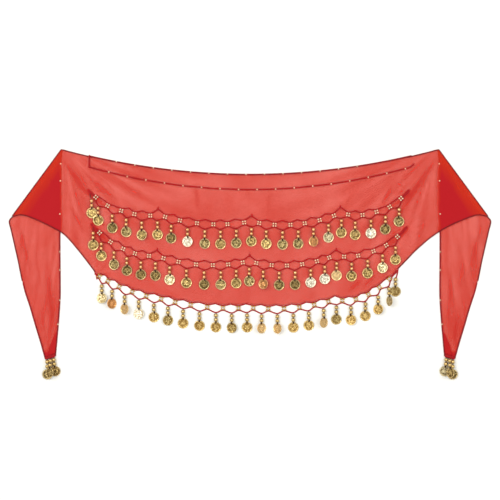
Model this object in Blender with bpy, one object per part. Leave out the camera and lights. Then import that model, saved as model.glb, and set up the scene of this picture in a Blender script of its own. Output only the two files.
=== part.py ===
"""A belly dance hip scarf laid out flat: one long sheer cloth whose two tying tails are folded behind
and point down, a crocheted cord along its edges, and three netted rows of coins hung on gold beads.

The scarf lies on the XY plane, its wearer's top edge towards +Y and its face up, in millimetres that
one scale turns into metres. The origin is the middle of its outline, on the surface it lies on.
"""

import math

import bmesh
import bpy
from mathutils import Vector

# ---------------------------------------------------------------- driving dimensions, in millimetres
MM = 0.001                # one millimetre in Blender's metres

CLOTH = 1.0               # thickness of the cloth wall
GAP = 0.3                 # clearance between pieces that touch
LAYER_LIFT = 1.6          # height of the front cloth's underside where a tail lies behind it

CORNER_X = 330.0          # top corner of the laid scarf, out from its middle
CORNER_Y = 201.5          # and its height above the middle of the outline
TOP_SAG = 44.5            # how far the top edge hangs below its corners
CREASE_X = 415.6          # where the fold of each tail meets the hem
CREASE_Y = 85.3

LIFT_FROM_X = 310.0       # the front cloth starts to climb over the tail here
LIFT_WIDTH = 18.0         # and has climbed it this far on

CORD_WIDE = 2.4           # crocheted edging: a flat chain
CORD_TOP_WIDE = 1.4
CORD_THICK = 1.2
CORD_STEPS = 28           # straight steps along each cord at the top
CORD_END_X = 281.0        # where both cords at the top end
WAIST_DROP = 25.5         # the second cord, below the middle of the top edge
WAIST_END_DROP = 18.5     # and below its ends
WAIST_TURN_UP = 5.0       # the second cord's right end turns up a little, its left end up to the edge

COINS = 22                # coins in each row
COIN_R = 9.2
COIN_THICK = 1.0
COIN_SIDES = 12
CHAIN_WIDE = 2.0          # chain stitches of the net
CHAIN_HIGH = 1.6
NET_REACH = 4.0           # the net lies on the highest cloth this near
CLUSTER_HALF = 4.0        # from a cluster's middle to the chain above or below it
CLUSTER_WIDE = 6.4
CLUSTER_HIGH = 2.8
END_HALF = 0.9            # and the same where the net is drawn together at its ends
VALLEY = 4.6              # dip of the lower chain, where a coin hangs
VALLEY_WIDE = 1.8
TACK_RISE = 6.0           # rise of the upper chain where it is tacked to the cloth
END_RISE = 1.0            # and where the net is drawn together
HEM_OVER_NET = 8.6        # from the bottom net's middle line up to the cloth's hem

FLANK_COLUMNS = 12        # cells of the body from a fold to the bottom net
SWAG_COLUMNS = 10         # and along each swag of that net
ROWS = 10                 # and across the body
TAIL_COLUMNS = 18
TAIL_ROWS = 6
FOLD_STEPS = 4            # facets round a folded edge
SWAG_STEPS = 16           # straight steps along each swag's middle line

# Sections across the body past the ends of the bottom net: start on the top edge (its y follows from the
# sag), end on the hem. Distances out from the middle, on the left and on the right.
#             top_x  hem_x  hem_y
LEFT_FLANK = ((272.0, 271.5, -11.5),
              (288.0, 281.0, 1.0),
              (303.0, 300.0, 25.5),
              (315.0, 324.3, 52.9),
              (320.5, 343.7, 64.5),
              (324.0, 369.6, 77.4),
              (326.5, 397.0, 87.2))
RIGHT_FLANK = ((268.0, 259.0, -6.5),
               (283.0, 274.0, 9.0),
               (298.0, 291.0, 26.5),
               (313.0, 318.0, 49.5),
               (320.5, 343.0, 65.5),
               (324.0, 369.0, 77.5),
               (326.5, 397.0, 87.2))

# Sections across a tail, from its edge near the body to its outer edge. The fold gives one more above them.
#                 inner_x inner_y outer_x outer_y
TAIL_SECTIONS = ((331.8, 168.0, 421.0, 76.0),
                 (332.8, 120.0, 417.5, 60.0),
                 (333.6, 72.0, 412.0, 36.0),
                 (333.8, 30.0, 405.0, 5.0),
                 (333.5, -15.0, 396.0, -38.0),
                 (333.5, -55.0, 384.5, -70.0),
                 (336.0, -95.0, 374.5, -104.0),
                 (339.0, -130.0, 364.5, -137.0),
                 (341.5, -158.0, 357.5, -162.5))
# The edge of the tail turned over itself just above the tip: inner edge, then the turned edge.
#              edge_x  edge_y  turned_x turned_y
TIP_SECTIONS = ((338.6, -118.0, 340.2, -119.4),
                (339.6, -130.0, 345.6, -131.7),
                (340.9, -144.0, 351.2, -145.9),
                (342.2, -155.0, 352.6, -157.6))
TAIL_OUTER_CORD_FROM_Y = -30.0    # a tail's outer edge has its cord below this height
TAIL_CORD_STEPS = 18
TIP_FOLD_STEPS = 6

# Each net hangs in four swags between its two ends and three tacks. Its named values are x and y of those
# five points, how far each swag dips, how far the first and last clusters are from the ends, how far the
# clusters are shifted towards the last one and bunched towards both ends, how far single clusters then slip
# along the net, by their place in it, how far past the middle between two clusters a coin hangs, how far the
# upper chain rises there, whether a coin comes before the first cluster, and whether the net lies on the
# cloth.
ROW_TABLE = {
    "coin_row_1": dict(
        points=((-282.3, 130.1), (-159.3, 87.0), (1.4, 75.6), (159.3, 90.5), (277.7, 130.1)),
        dips=(15.0, 10.0, 12.5, 18.5), lead=(17.5, 19.8), shift=2.5, bunch=4.5,
        slips={3: -2, 7: 3, 8: 4.5, 9: 1.5, 10: 3, 11: 2, 12: 1.5, 13: 2},
        hang=0.0, peak=4.6, coin_first=True, on_cloth=True),
    "coin_row_2": dict(
        points=((-276.7, 70.4), (-164.7, 15.5), (-2.3, 6.0), (148.2, 16.0), (273.9, 65.4)),
        dips=(15.5, 11.0, 12.0, 18.5), lead=(20.0, 23.0), shift=1.0, bunch=4.0,
        slips={3: -3, 4: -3.5, 5: -3.5, 6: -2.5, 7: 2, 8: 4.5, 9: 4.5, 10: 3, 16: -3.5, 17: -2.5, 18: -3},
        hang=0.0, peak=4.6, coin_first=True, on_cloth=True),
    "coin_row_3": dict(
        points=((-270.0, -15.9), (-157.5, -59.0), (0.0, -74.8), (148.8, -61.0), (256.5, -11.2)),
        dips=(7.0, 6.5, 7.5, 18.0), lead=(7.5, 18.7), shift=-1.5, bunch=9.0,
        slips={1: -5, 2: -5.5, 3: -4, 4: -2, 7: 1.5, 8: 4, 9: 4, 10: 3.5, 11: 1.5},
        hang=2.0, peak=3.0, coin_first=False, on_cloth=False),
}
# How far single coins are turned on their thread, in degrees, by place in the row. The others lie flat.
COIN_TURNS = {
    "coin_row_1": {4: 18, 8: -16, 15: 32, 19: -14},
    "coin_row_2": {2: 14, 7: -20, 12: 30, 15: -28, 20: 16},
    "coin_row_3": {0: 26, 1: -36, 2: 36, 3: 26, 5: -14, 9: 18, 11: -34, 12: 50, 15: -40, 17: 16, 19: 36,
                   20: 60},
}
# A coin's drop: distance down the thread from the net, half the bead or thread there across and through, and
# the height of its axis over what it lies on.
#               down  half_wide half_high axis
DROP_PROFILE = ((1.6, 1.0, 0.8, 1.6),
                (4.4, 2.9, 2.5, 2.8),
                (7.4, 1.0, 0.9, 2.8),
                (10.6, 2.9, 2.5, 2.8),
                (13.4, 0.9, 0.7, 2.6))
COIN_DOWN = 24.6          # from the net to the middle of the coin
COIN_LEAN = 0.09          # slope of a coin whose far end lies on the cloth, and its thread end on the thread
LEAN_TO_TURN = 20.0       # a coin turned this many degrees no longer leans

# The three coins on each tail's tip: place along the gathered tip from its inner to its outer end, heading
# from straight down and turn on the thread in degrees, how far the drop is raised, and its length beside a
# full one.
#             place heading turn raised length
TIP_DROPS = ((0.20, -8.0, 0.0, 0.0, 0.95),
             (0.50, 3.0, -42.0, 4.2, 0.95),
             (0.90, 3.0, 0.0, 2.1, 1.0))
TIP_BAR_R = 1.7           # half the thickness of the gathered tip

# Soft creases raised in the cloth: middle, length, heading in degrees, half width and height.
#             x       y      length heading half  high
CREASES = ((-306.0, 150.0, 92.0, -55.0, 9.0, 1.6),
           (-252.0, 128.0, 60.0, -40.0, 9.0, 1.2),
           (-303.0, 78.0, 56.0, -66.0, 8.0, 1.4),
           (302.0, 146.0, 104.0, 57.0, 9.0, 1.8),
           (241.0, 122.0, 44.0, 62.0, 7.0, 1.4),
           (186.0, -36.0, 40.0, 38.0, 7.0, 1.4),
           (208.0, -30.0, 36.0, 45.0, 7.0, 1.4),
           (-95.0, 118.0, 46.0, -84.0, 9.0, 0.9))
TAIL_CREASES = ((398.0, 36.0, 90.0, 76.0, 9.0, 1.5),
                (352.0, -52.0, 120.0, 86.0, 10.0, 1.3))

RED_CHIFFON = dict(colour=(0.76, 0.117, 0.084), roughness=0.6, metallic=0.0)
RED_YARN = dict(colour=(0.25, 0.01, 0.02), roughness=0.8, metallic=0.0)
GOLD_COIN = dict(colour=(0.62, 0.50, 0.20), roughness=0.35, metallic=1.0)

CORNERS = ((-1, 1), (1, 1), (1, -1), (-1, -1))    # left top, right top, right low, left low of a ring
SHARP_FROM = math.radians(35)                      # edges that bend more than this are shaded sharp


# ---------------------------------------------------------------- small tools
def smooth_step(t):
    """0 below 0, 1 above 1, and a soft climb between."""
    t = min(max(t, 0.0), 1.0)
    return t * t * (3.0 - 2.0 * t)


def through(points, share):
    """The point at a share of the way along a smooth curve through the points, counted as evenly spaced."""
    last = len(points) - 1
    at = min(max(share, 0.0), 1.0) * last
    k = min(int(at), last - 1)
    t = at - k
    a = points[max(k - 1, 0)]
    b = points[k]
    c = points[k + 1]
    d = points[min(k + 2, last)]
    return tuple(
        0.5 * (2 * q + (r - p) * t + (2 * p - 5 * q + 4 * r - s) * t * t + (3 * q - p - 3 * r + s) * t ** 3)
        for p, q, r, s in zip(a, b, c, d))


class Line:
    """A path in the plane that can be read by distance along it."""

    def __init__(self, points):
        self.points = [Vector(p) for p in points]
        self.along = [0.0]
        for a, b in zip(self.points, self.points[1:]):
            self.along.append(self.along[-1] + (b - a).length)
        self.length = self.along[-1]
        steps = [(b - a).normalized() for a, b in zip(self.points, self.points[1:])]
        self.headings = [(a + b).normalized() for a, b in zip(steps[:1] + steps, steps + steps[-1:])]

    def at(self, distance):
        """The point, the unit direction and the unit direction to its left at a distance."""
        distance = min(max(distance, 0.0), self.length)
        k = 0
        while k < len(self.points) - 2 and self.along[k + 1] < distance:
            k += 1
        share = (distance - self.along[k]) / (self.along[k + 1] - self.along[k])
        heading = self.headings[k].lerp(self.headings[k + 1], share).normalized()
        return self.points[k].lerp(self.points[k + 1], share), heading, Vector((-heading.y, heading.x))


# ---------------------------------------------------------------- the shape of the laid cloth
def top_edge(x):
    """Height of the body's top edge: it hangs between its corners."""
    return CORNER_Y - TOP_SAG * (1.0 - (x / CORNER_X) ** 2)


def crease_rise(x, y, table):
    """How far the soft creases raise the cloth at a point."""
    rise = 0.0
    for cx, cy, length, heading, half, high in table:
        turn = math.radians(heading)
        along = ((x - cx) * math.cos(turn) + (y - cy) * math.sin(turn)) / (length / 2)
        across = ((y - cy) * math.cos(turn) - (x - cx) * math.sin(turn)) / half
        if abs(along) < 1 and abs(across) < 1:
            rise += high * math.cos(along * math.pi / 2) * math.cos(across * math.pi / 2) ** 2
    return rise


def underside(x, y):
    """Height of the body's underside: on the table, or on the tail behind it."""
    lift = LAYER_LIFT * smooth_step((abs(x) - LIFT_FROM_X) / LIFT_WIDTH)
    return lift + crease_rise(x, y, CREASES)


def tail_underside(x, y):
    return crease_rise(abs(x), y, TAIL_CREASES)


def highest(x, y, reach):
    """The highest point of the cloth's face within reach of a point."""
    steps = (-reach, 0.0, reach)
    return CLOTH + max(underside(x + i, y + j) for i in steps for j in steps)


def net_line(row):
    """The middle line of a net: a swag between each two of its five points."""
    points = []
    corners = row["points"]
    for (ax, ay), (bx, by), dip in zip(corners, corners[1:], row["dips"]):
        for k in range(SWAG_STEPS):
            t = k / SWAG_STEPS
            points.append((ax + (bx - ax) * t, ay + (by - ay) * t - 4 * dip * t * (1 - t)))
    points.append(corners[-1])
    return Line(points)


def cluster_places(row, line):
    """Distances of the bead clusters along a net, closer together towards its ends."""
    lead_in, lead_out = row["lead"]
    span = line.length - lead_in - lead_out
    places = []
    for k in range(COINS):
        share = k / (COINS - 1)
        drift = row["shift"] * math.sin(math.pi * share) - row["bunch"] * math.sin(2 * math.pi * share)
        places.append(lead_in + span * share + drift + row["slips"].get(k, 0.0))
    return places


def crease_line(side, inward):
    """The fold of a tail, moved into the cloth: its top and bottom end and the direction into the cloth."""
    top = Vector((side * CORNER_X, CORNER_Y))
    low = Vector((side * CREASE_X, CREASE_Y))
    along = (low - top).normalized()
    into = Vector((side * along.y, -side * along.x))
    return top + inward * into, low + inward * into, into


def flank_sections(side, table):
    """Sections across the body from the bottom net to the fold: x and y on the top edge, then on the hem."""
    top, low, _ = crease_line(side, LAYER_LIFT / 2 + CLOTH / 2)
    sections = [(side * top_x, top_edge(top_x), side * hem_x, hem_y) for top_x, hem_x, hem_y in table]
    sections.append((*top, *low))
    return [through(sections, k / FLANK_COLUMNS) for k in range(FLANK_COLUMNS)]


def body_sections():
    """Sections across the body from fold to fold, each with x and y on the top edge and then on the hem."""
    net = net_line(ROW_TABLE["coin_row_3"])
    first = -LEFT_FLANK[0][0]
    last = RIGHT_FLANK[0][0]
    steps = SWAG_COLUMNS * 4
    middle = []
    for k in range(1, steps):
        swag = k // SWAG_COLUMNS
        start = net.along[SWAG_STEPS * swag]
        end = net.along[SWAG_STEPS * min(swag + 1, 4)] if swag < 4 else net.length
        at, _, up = net.at(start + (end - start) * (k % SWAG_COLUMNS) / SWAG_COLUMNS)
        hem = at + HEM_OVER_NET * up
        top_x = first + (last - first) * k / steps
        middle.append((top_x, top_edge(top_x), hem.x, hem.y))
    return flank_sections(-1, LEFT_FLANK)[::-1] + middle + flank_sections(1, RIGHT_FLANK)


# ---------------------------------------------------------------- making solids
def material(name, colour, roughness, metallic):
    made = bpy.data.materials.new(name)
    made.use_nodes = True
    shader = made.node_tree.nodes["Principled BSDF"]
    shader.inputs["Base Color"].default_value = (*colour, 1.0)
    shader.inputs["Roughness"].default_value = roughness
    shader.inputs["Metallic"].default_value = metallic
    made.diffuse_color = (*colour, 1.0)
    return made


def mesh_of(name, points, faces):
    """A closed mesh, faces out, from points in millimetres."""
    mesh = bpy.data.meshes.new(name)
    mesh.from_pydata([tuple(MM * value for value in p) for p in points], [], faces)
    work = bmesh.new()
    work.from_mesh(mesh)
    bmesh.ops.recalc_face_normals(work, faces=work.faces)
    bmesh.ops.triangulate(work, faces=work.faces)
    work.to_mesh(mesh)
    work.free()
    return mesh


def add_piece(name, points, faces, finish):
    """An object with its own closed mesh and its finish."""
    mesh = mesh_of(name, points, faces)
    mesh.materials.append(finish)
    mesh.shade_smooth()
    mesh.set_sharp_from_angle(angle=SHARP_FROM)
    made = bpy.data.objects.new(name, mesh)
    bpy.context.scene.collection.objects.link(made)


def wall(name, columns, finish):
    """A cloth wall from a grid of (outer point, inner point) pairs, closed all round its edge."""
    across = len(columns[0])
    points = [pair[layer] for layer in (0, 1) for column in columns for pair in column]
    under = len(columns) * across

    def index(column, row, layer):
        return layer * under + column * across + row

    faces = []
    for c in range(len(columns) - 1):
        for r in range(across - 1):
            faces.append((index(c, r, 0), index(c, r + 1, 0), index(c + 1, r + 1, 0), index(c + 1, r, 0)))
            faces.append((index(c, r, 1), index(c + 1, r, 1), index(c + 1, r + 1, 1), index(c, r + 1, 1)))
    for c in range(len(columns) - 1):
        for r in (0, across - 1):
            faces.append((index(c, r, 0), index(c + 1, r, 0), index(c + 1, r, 1), index(c, r, 1)))
    for r in range(across - 1):
        for c in (0, len(columns) - 1):
            faces.append((index(c, r, 0), index(c, r + 1, 0), index(c, r + 1, 1), index(c, r, 1)))
    add_piece(name, points, faces, finish)


def ring_tube(rings):
    """A closed shell through rings of equally many points."""
    sides = len(rings[0])
    points = [p for ring in rings for p in ring]
    faces = [tuple(range(sides)), tuple((len(rings) - 1) * sides + i for i in range(sides))]
    for k in range(len(rings) - 1):
        for i in range(sides):
            j = (i + 1) % sides
            faces.append((k * sides + i, k * sides + j, (k + 1) * sides + j, (k + 1) * sides + i))
    return points, faces


def along_path(path, section):
    """Rings that carry a flat section, given as (sideways, up) pairs, along a path of (x, y, z) points."""
    rings = []
    for k, (x, y, z) in enumerate(path):
        before = Vector(path[max(k - 1, 0)][:2])
        here = Vector((x, y))
        after = Vector(path[min(k + 1, len(path) - 1)][:2])
        first = (here - before) if k else (after - here)
        second = (after - here) if k < len(path) - 1 else (here - before)
        along = (first.normalized() + second.normalized()).normalized()
        mitre = max(along.dot(first.normalized()), 0.5)
        side = Vector((-along.y, along.x)) / mitre
        rings.append([(x + across * side.x, y + across * side.y, z + up) for across, up in section])
    return rings


def cord(name, path, finish):
    """A flat crocheted cord with its underside on the path."""
    half = CORD_WIDE / 2
    top = CORD_TOP_WIDE / 2
    section = ((-half, 0.0), (half, 0.0), (top, CORD_THICK), (-top, CORD_THICK))
    add_piece(name, *ring_tube(along_path(path, section)), finish)


# ---------------------------------------------------------------- the pieces
def folded_edge(side, rows):
    """The columns that carry the body's wall round the fold of a tail, from its face to its underside."""
    inner_r = LAYER_LIFT / 2 - CLOTH / 2
    outer_r = inner_r + CLOTH
    middle = CLOTH + inner_r
    top, low, into = crease_line(side, outer_r)
    columns = []
    for step in range(FOLD_STEPS + 1):
        turn = math.pi / 2 - math.pi * step / FOLD_STEPS
        out = math.cos(turn)
        up = math.sin(turn)
        column = []
        for r in range(rows + 1):
            at = top.lerp(low, r / rows)
            outer = at - outer_r * out * into
            inner = at - inner_r * out * into
            column.append(((outer.x, outer.y, middle + outer_r * up),
                           (inner.x, inner.y, middle + inner_r * up)))
        columns.append(column)
    return columns


def body_panel(finish):
    """The body of the scarf, from the fold of one tail to the fold of the other."""
    columns = []
    for top_x, top_y, hem_x, hem_y in body_sections():
        column = []
        for r in range(ROWS + 1):
            x = top_x + (hem_x - top_x) * r / ROWS
            y = top_y + (hem_y - top_y) * r / ROWS
            low = underside(x, y)
            column.append(((x, y, low + CLOTH), (x, y, low)))
        columns.append(column)
    left = folded_edge(-1, ROWS)[::-1]
    right = folded_edge(1, ROWS)
    wall("body_panel", left + columns + right, finish)


def tail(side, name, finish):
    """A tying tail behind the body: from the fold, where the body's wall ends, down to its narrow tip."""
    fold_end = CLOTH + LAYER_LIFT / 2 - CLOTH / 2 + GAP
    top, low, _ = crease_line(side, fold_end)
    along = (low - top).normalized()
    inner_x = side * (CORNER_X + 0.4)
    start = top + along * ((inner_x - top.x) / along.x)
    sections = [(abs(start.x), start.y, abs(low.x), low.y), *TAIL_SECTIONS]
    columns = []
    for c in range(TAIL_COLUMNS + 1):
        ax, ay, bx, by = through(sections, c / TAIL_COLUMNS)
        column = []
        for r in range(TAIL_ROWS + 1):
            x = ax + (bx - ax) * r / TAIL_ROWS
            y = ay + (by - ay) * r / TAIL_ROWS
            low_z = tail_underside(x, y)
            column.append(((side * x, y, low_z + CLOTH), (side * x, y, low_z)))
        columns.append(column)
    wall(name, columns, finish)


def tip_fold(side, name, finish):
    """The edge of the tail turned over its face above the tip, where it is drawn together."""
    columns = []
    for c in range(TIP_FOLD_STEPS + 1):
        ax, ay, bx, by = through(TIP_SECTIONS, c / TIP_FOLD_STEPS)
        column = []
        for r in range(3):
            x = ax + (bx - ax) * r / 2
            y = ay + (by - ay) * r / 2
            low_z = CLOTH + GAP + tail_underside(x, y)
            column.append(((side * x, y, low_z + CLOTH), (side * x, y, low_z)))
        columns.append(column)
    wall(name, columns, finish)


def top_cords(finish):
    """The cord along the top edge, and the second one on the cloth below it."""
    edge = []
    waist = []
    for k in range(CORD_STEPS + 1):
        share = 2 * k / CORD_STEPS - 1
        x = CORD_END_X * share
        edge.append((x, top_edge(x) + GAP + CORD_WIDE / 2, GAP / 2))
        y = top_edge(x) - WAIST_DROP + (WAIST_DROP - WAIST_END_DROP) * share * share
        waist.append((x, y, highest(x, y, CORD_WIDE) + GAP))
    x, y, z = waist[0]
    waist.insert(0, (x, top_edge(x) - CORD_WIDE, z))
    x, y, z = waist[-1]
    waist.append((x + WAIST_TURN_UP, y + WAIST_TURN_UP, z))
    cord("top_edge_cord", edge, finish)
    cord("waist_cord", waist, finish)


def tail_cords(side, place, finish):
    """The cords along a tail: its whole inner edge, and its outer edge from the knee down."""
    reach = GAP + CORD_WIDE / 2
    inner = []
    outer = []
    for k in range(TAIL_CORD_STEPS + 1):
        ax, ay, bx, by = through(TAIL_SECTIONS, k / TAIL_CORD_STEPS)
        inner.append((side * (ax - reach), ay, GAP / 2))
        if by < TAIL_OUTER_CORD_FROM_Y:
            outer.append((side * (bx + reach), by, GAP / 2))
    cord("tail_inner_cord_" + place, inner, finish)
    cord("tail_outer_cord_" + place, outer, finish)


def drop_rings(root, ground, turn_deg, heading_deg=0.0, length=1.0):
    """Rings of four points down a coin's drop: two beads on a thread, then the coin that ends it."""
    turn = math.radians(turn_deg)
    heading = math.radians(heading_deg)
    down = Vector((math.sin(heading), -math.cos(heading), 0.0))
    side = Vector((math.cos(heading), math.sin(heading), 0.0))
    rise = Vector((0.0, 0.0, 1.0))
    root = Vector((root[0], root[1], 0.0))
    rings = []
    for far, half_wide, half_high, axis in DROP_PROFILE:
        middle = root + far * length * down + (ground + axis) * rise
        rings.append([middle + half_wide * i * side + half_high * j * rise for i, j in CORNERS])
    lean = COIN_LEAN * max(0.0, 1.0 - abs(turn_deg) / LEAN_TO_TURN)
    coin_z = ground + COIN_R * max(abs(math.sin(turn)), lean) + COIN_THICK / 2
    across = math.cos(turn) * side + math.sin(turn) * rise
    through_coin = math.cos(turn) * rise - math.sin(turn) * side
    for k in range(COIN_SIDES // 2):
        angle = 2 * math.pi * (k + 0.5) / COIN_SIDES
        far = -COIN_R * math.cos(angle)
        half_wide = COIN_R * math.sin(angle)
        middle = root + (COIN_DOWN * length + far) * down + (coin_z - far * lean) * rise
        face = COIN_THICK / 2 * through_coin
        rings.append([middle + half_wide * i * across + j * face for i, j in CORNERS])
    return rings


class Slab:
    """A flat piece with a point above and below each of its places, and drops hung from its edge."""

    def __init__(self):
        self.points = []
        self.faces = []

    def place(self, x, y, low, high):
        """Adds an underside point and a top point, and returns the pair's index."""
        self.points += [(x, y, low), (x, y, high)]
        return len(self.points) - 2

    def floor_and_top(self, *corners):
        self.faces.append(tuple(c + 1 for c in corners))
        self.faces.append(tuple(reversed(corners)))

    def edge(self, *corners):
        """A wall along an open run of places."""
        for a, b in zip(corners, corners[1:]):
            self.faces.append((a, b, b + 1, a + 1))

    def hang(self, left, right, rings):
        """A drop in place of the wall between two places."""
        before = (left + 1, right + 1, right, left)
        for ring in rings:
            start = len(self.points)
            self.points += [tuple(p) for p in ring]
            here = tuple(start + i for i in range(4))
            for i in range(4):
                j = (i + 1) % 4
                self.faces.append((before[i], before[j], here[j], here[i]))
            before = here
        self.faces.append(before)


def coin_row(name, finish):
    """A net of chain stitches round its bead clusters, one slab with a gap between each two clusters, and the
    coins that hang from its lower chain."""
    row = ROW_TABLE[name]
    line = net_line(row)
    half = CHAIN_WIDE / 2
    slab = Slab()

    def ground(x, y, reach):
        return (highest(x, y, reach) if row["on_cloth"] else 0.0) + GAP

    def place(distance, up_by, thick, along_by=0.0):
        at, along, up = line.at(distance)
        p = at + up_by * up + along_by * along
        low = ground(p.x, p.y, NET_REACH)
        return slab.place(p.x, p.y, low, low + thick)

    clusters = cluster_places(row, line)
    stations = [(0.0, END_HALF, END_HALF, CHAIN_HIGH)]
    stations += [(distance, CLUSTER_HALF, CLUSTER_WIDE / 2, CLUSTER_HIGH) for distance in clusters]
    stations.append((line.length, END_HALF, END_HALF, CHAIN_HIGH))
    corners = []
    for distance, tall, wide, thick in stations:
        corners.append(dict(
            top=place(distance, tall + half, thick),
            low=place(distance, -tall - half, thick),
            left_top=place(distance, tall - half / 2, thick, -wide),
            left_low=place(distance, half / 2 - tall, thick, -wide),
            right_top=place(distance, tall - half / 2, thick, wide),
            right_low=place(distance, half / 2 - tall, thick, wide)))
    for corner in corners:
        slab.floor_and_top(corner["top"], corner["left_top"], corner["left_low"],
                           corner["low"], corner["right_low"], corner["right_top"])
    slab.edge(corners[0]["top"], corners[0]["left_top"], corners[0]["left_low"], corners[0]["low"])
    slab.edge(corners[-1]["low"], corners[-1]["right_low"], corners[-1]["right_top"], corners[-1]["top"])

    tacks = [line.along[SWAG_STEPS * k] for k in (1, 2, 3)]
    coin_number = 0
    for cell, (here, there) in enumerate(zip(corners, corners[1:])):
        start, end = stations[cell][0], stations[cell + 1][0]
        middle = (start + end) / 2
        at_end = cell in (0, COINS)
        tacked = row["on_cloth"] and any(abs(middle - t) < (end - start) / 2 for t in tacks)
        rise = END_RISE if at_end else TACK_RISE if tacked else row["peak"]
        tall = (stations[cell][1] + stations[cell + 1][1]) / 2
        peak = place(middle, tall + half + rise, CHAIN_HIGH)
        under_peak = place(middle, tall - half + rise, CHAIN_HIGH)
        dip = VALLEY / 2 if at_end else VALLEY
        with_coin = cell > 0 if not row["coin_first"] else cell < COINS
        hang = middle + (0.0 if at_end else row["hang"])
        over_valley = place(hang, half - tall - dip, CHAIN_HIGH)
        valley_left = place(hang, -half - tall - dip, CHAIN_HIGH, -VALLEY_WIDE / 2)
        valley_right = place(hang, -half - tall - dip, CHAIN_HIGH, VALLEY_WIDE / 2)
        slab.floor_and_top(here["top"], here["right_top"], under_peak, peak)
        slab.floor_and_top(peak, under_peak, there["left_top"], there["top"])
        slab.floor_and_top(here["right_low"], here["low"], valley_left, over_valley)
        slab.floor_and_top(over_valley, valley_left, valley_right)
        slab.floor_and_top(over_valley, valley_right, there["low"], there["left_low"])
        slab.edge(there["top"], peak, here["top"])
        slab.edge(here["right_top"], under_peak, there["left_top"], there["left_low"], over_valley,
                  here["right_low"], here["right_top"])
        slab.edge(here["low"], valley_left)
        slab.edge(valley_right, there["low"])
        if with_coin:
            x = (slab.points[valley_left][0] + slab.points[valley_right][0]) / 2
            y = (slab.points[valley_left][1] + slab.points[valley_right][1]) / 2
            base = ground(x, y - COIN_DOWN, COIN_R)
            turn = COIN_TURNS[name].get(coin_number, 0.0)
            slab.hang(valley_left, valley_right, drop_rings((x, y), base, turn))
            coin_number += 1
        else:
            slab.edge(valley_left, valley_right)
    add_piece(name, slab.points, slab.faces, finish)


def tip_coins(side, place, finish):
    """The bar that gathers a tail's tip, and the three coins that hang from it."""
    inner = Vector(TAIL_SECTIONS[-1][:2])
    outer = Vector(TAIL_SECTIONS[-1][2:])
    slab = Slab()
    upper = []
    lower = []
    shares = [0.0]
    for drop_place, *_ in TIP_DROPS:
        step = VALLEY_WIDE / 2 / (outer - inner).length
        shares += [drop_place - step, drop_place + step]
    shares.append(1.0)
    for share in shares:
        p = inner.lerp(outer, share)
        upper.append(slab.place(side * p.x, p.y - GAP, GAP, GAP + 2 * TIP_BAR_R))
        lower.append(slab.place(side * p.x, p.y - GAP - 2 * TIP_BAR_R, GAP, GAP + 2 * TIP_BAR_R))
    for k in range(len(shares) - 1):
        slab.floor_and_top(upper[k], lower[k], lower[k + 1], upper[k + 1])
    slab.edge(*reversed(upper), lower[0])
    slab.edge(lower[-1], upper[-1])
    for k in range(0, len(shares), 2):
        slab.edge(lower[k], lower[k + 1])
    for k, (_, heading, turn, raised, length) in enumerate(TIP_DROPS):
        left, right = lower[2 * k + 1], lower[2 * k + 2]
        if side < 0:
            left, right = right, left
        x = (slab.points[left][0] + slab.points[right][0]) / 2
        y = (slab.points[left][1] + slab.points[right][1]) / 2
        slab.hang(left, right, drop_rings((x, y), GAP + raised, side * turn, side * heading, length))
    add_piece("tip_coins_" + place, slab.points, slab.faces, finish)


def main():
    for spare in list(bpy.data.objects):
        bpy.data.objects.remove(spare)
    chiffon = material("red_chiffon", **RED_CHIFFON)
    yarn = material("red_yarn", **RED_YARN)
    gold = material("gold_coin", **GOLD_COIN)
    body_panel(chiffon)
    top_cords(yarn)
    for side, place in ((-1, "left"), (1, "right")):
        tail(side, "tail_" + place, chiffon)
        tip_fold(side, "tip_fold_" + place, chiffon)
        tail_cords(side, place, yarn)
        tip_coins(side, place, gold)
    for name in ROW_TABLE:
        coin_row(name, gold)


main()
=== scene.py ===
# %% [markdown]
# # A sheer hip scarf with three rows of coins
# The real scarf is one long cut of thin red chiffon. It lies face up: the middle is flat, and each tying
# tail is folded behind along a slanting crease, so that it points down. Crocheted chains edge it, and
# three crocheted nets carry small beads and stamped coins. This lesson builds what is seen around a
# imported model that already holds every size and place.

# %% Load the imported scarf
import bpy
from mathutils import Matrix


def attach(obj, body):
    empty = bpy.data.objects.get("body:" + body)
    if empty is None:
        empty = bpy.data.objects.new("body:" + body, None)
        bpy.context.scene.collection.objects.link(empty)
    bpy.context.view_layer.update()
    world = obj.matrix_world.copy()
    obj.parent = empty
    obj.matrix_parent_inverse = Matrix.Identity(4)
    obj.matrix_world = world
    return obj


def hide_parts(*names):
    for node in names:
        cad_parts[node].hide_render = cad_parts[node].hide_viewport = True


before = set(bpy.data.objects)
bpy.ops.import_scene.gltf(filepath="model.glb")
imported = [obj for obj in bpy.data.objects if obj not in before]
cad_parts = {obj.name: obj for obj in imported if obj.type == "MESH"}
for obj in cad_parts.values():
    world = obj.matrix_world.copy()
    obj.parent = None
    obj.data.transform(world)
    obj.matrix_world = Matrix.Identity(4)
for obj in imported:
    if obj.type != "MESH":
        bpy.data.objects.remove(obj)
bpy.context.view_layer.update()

# %% [markdown]
# ## Tools that every step shares
# Sizes are written in millimetres, as a maker would measure them, and one scale turns them into metres
# where a mesh is made. Paths are read by distance along them, and a smooth curve runs through a short
# list of points. These are the same few functions that shape the solids, so a piece lands where its solid
# is.

# %% Imports and small tools
import random
from bisect import bisect_left
from math import atan2, cos, degrees, hypot, pi, radians, sin, sqrt

import bpy
import numpy as np
from mathutils import Matrix, Vector, noise

MM = 0.001
FULL_TURN = 2 * pi
SIDES = ((-1, "left"), (1, "right"))


def climb(value, start, over):
    """0 up to start, 1 from over beyond it, and a soft climb between."""
    t = min(max((value - start) / over, 0.0), 1.0)
    return t * t * (3.0 - 2.0 * t)


def between(a, b, t):
    """The place at a share t of the way from a to b."""
    return [p + (q - p) * t for p, q in zip(a, b)]


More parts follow.
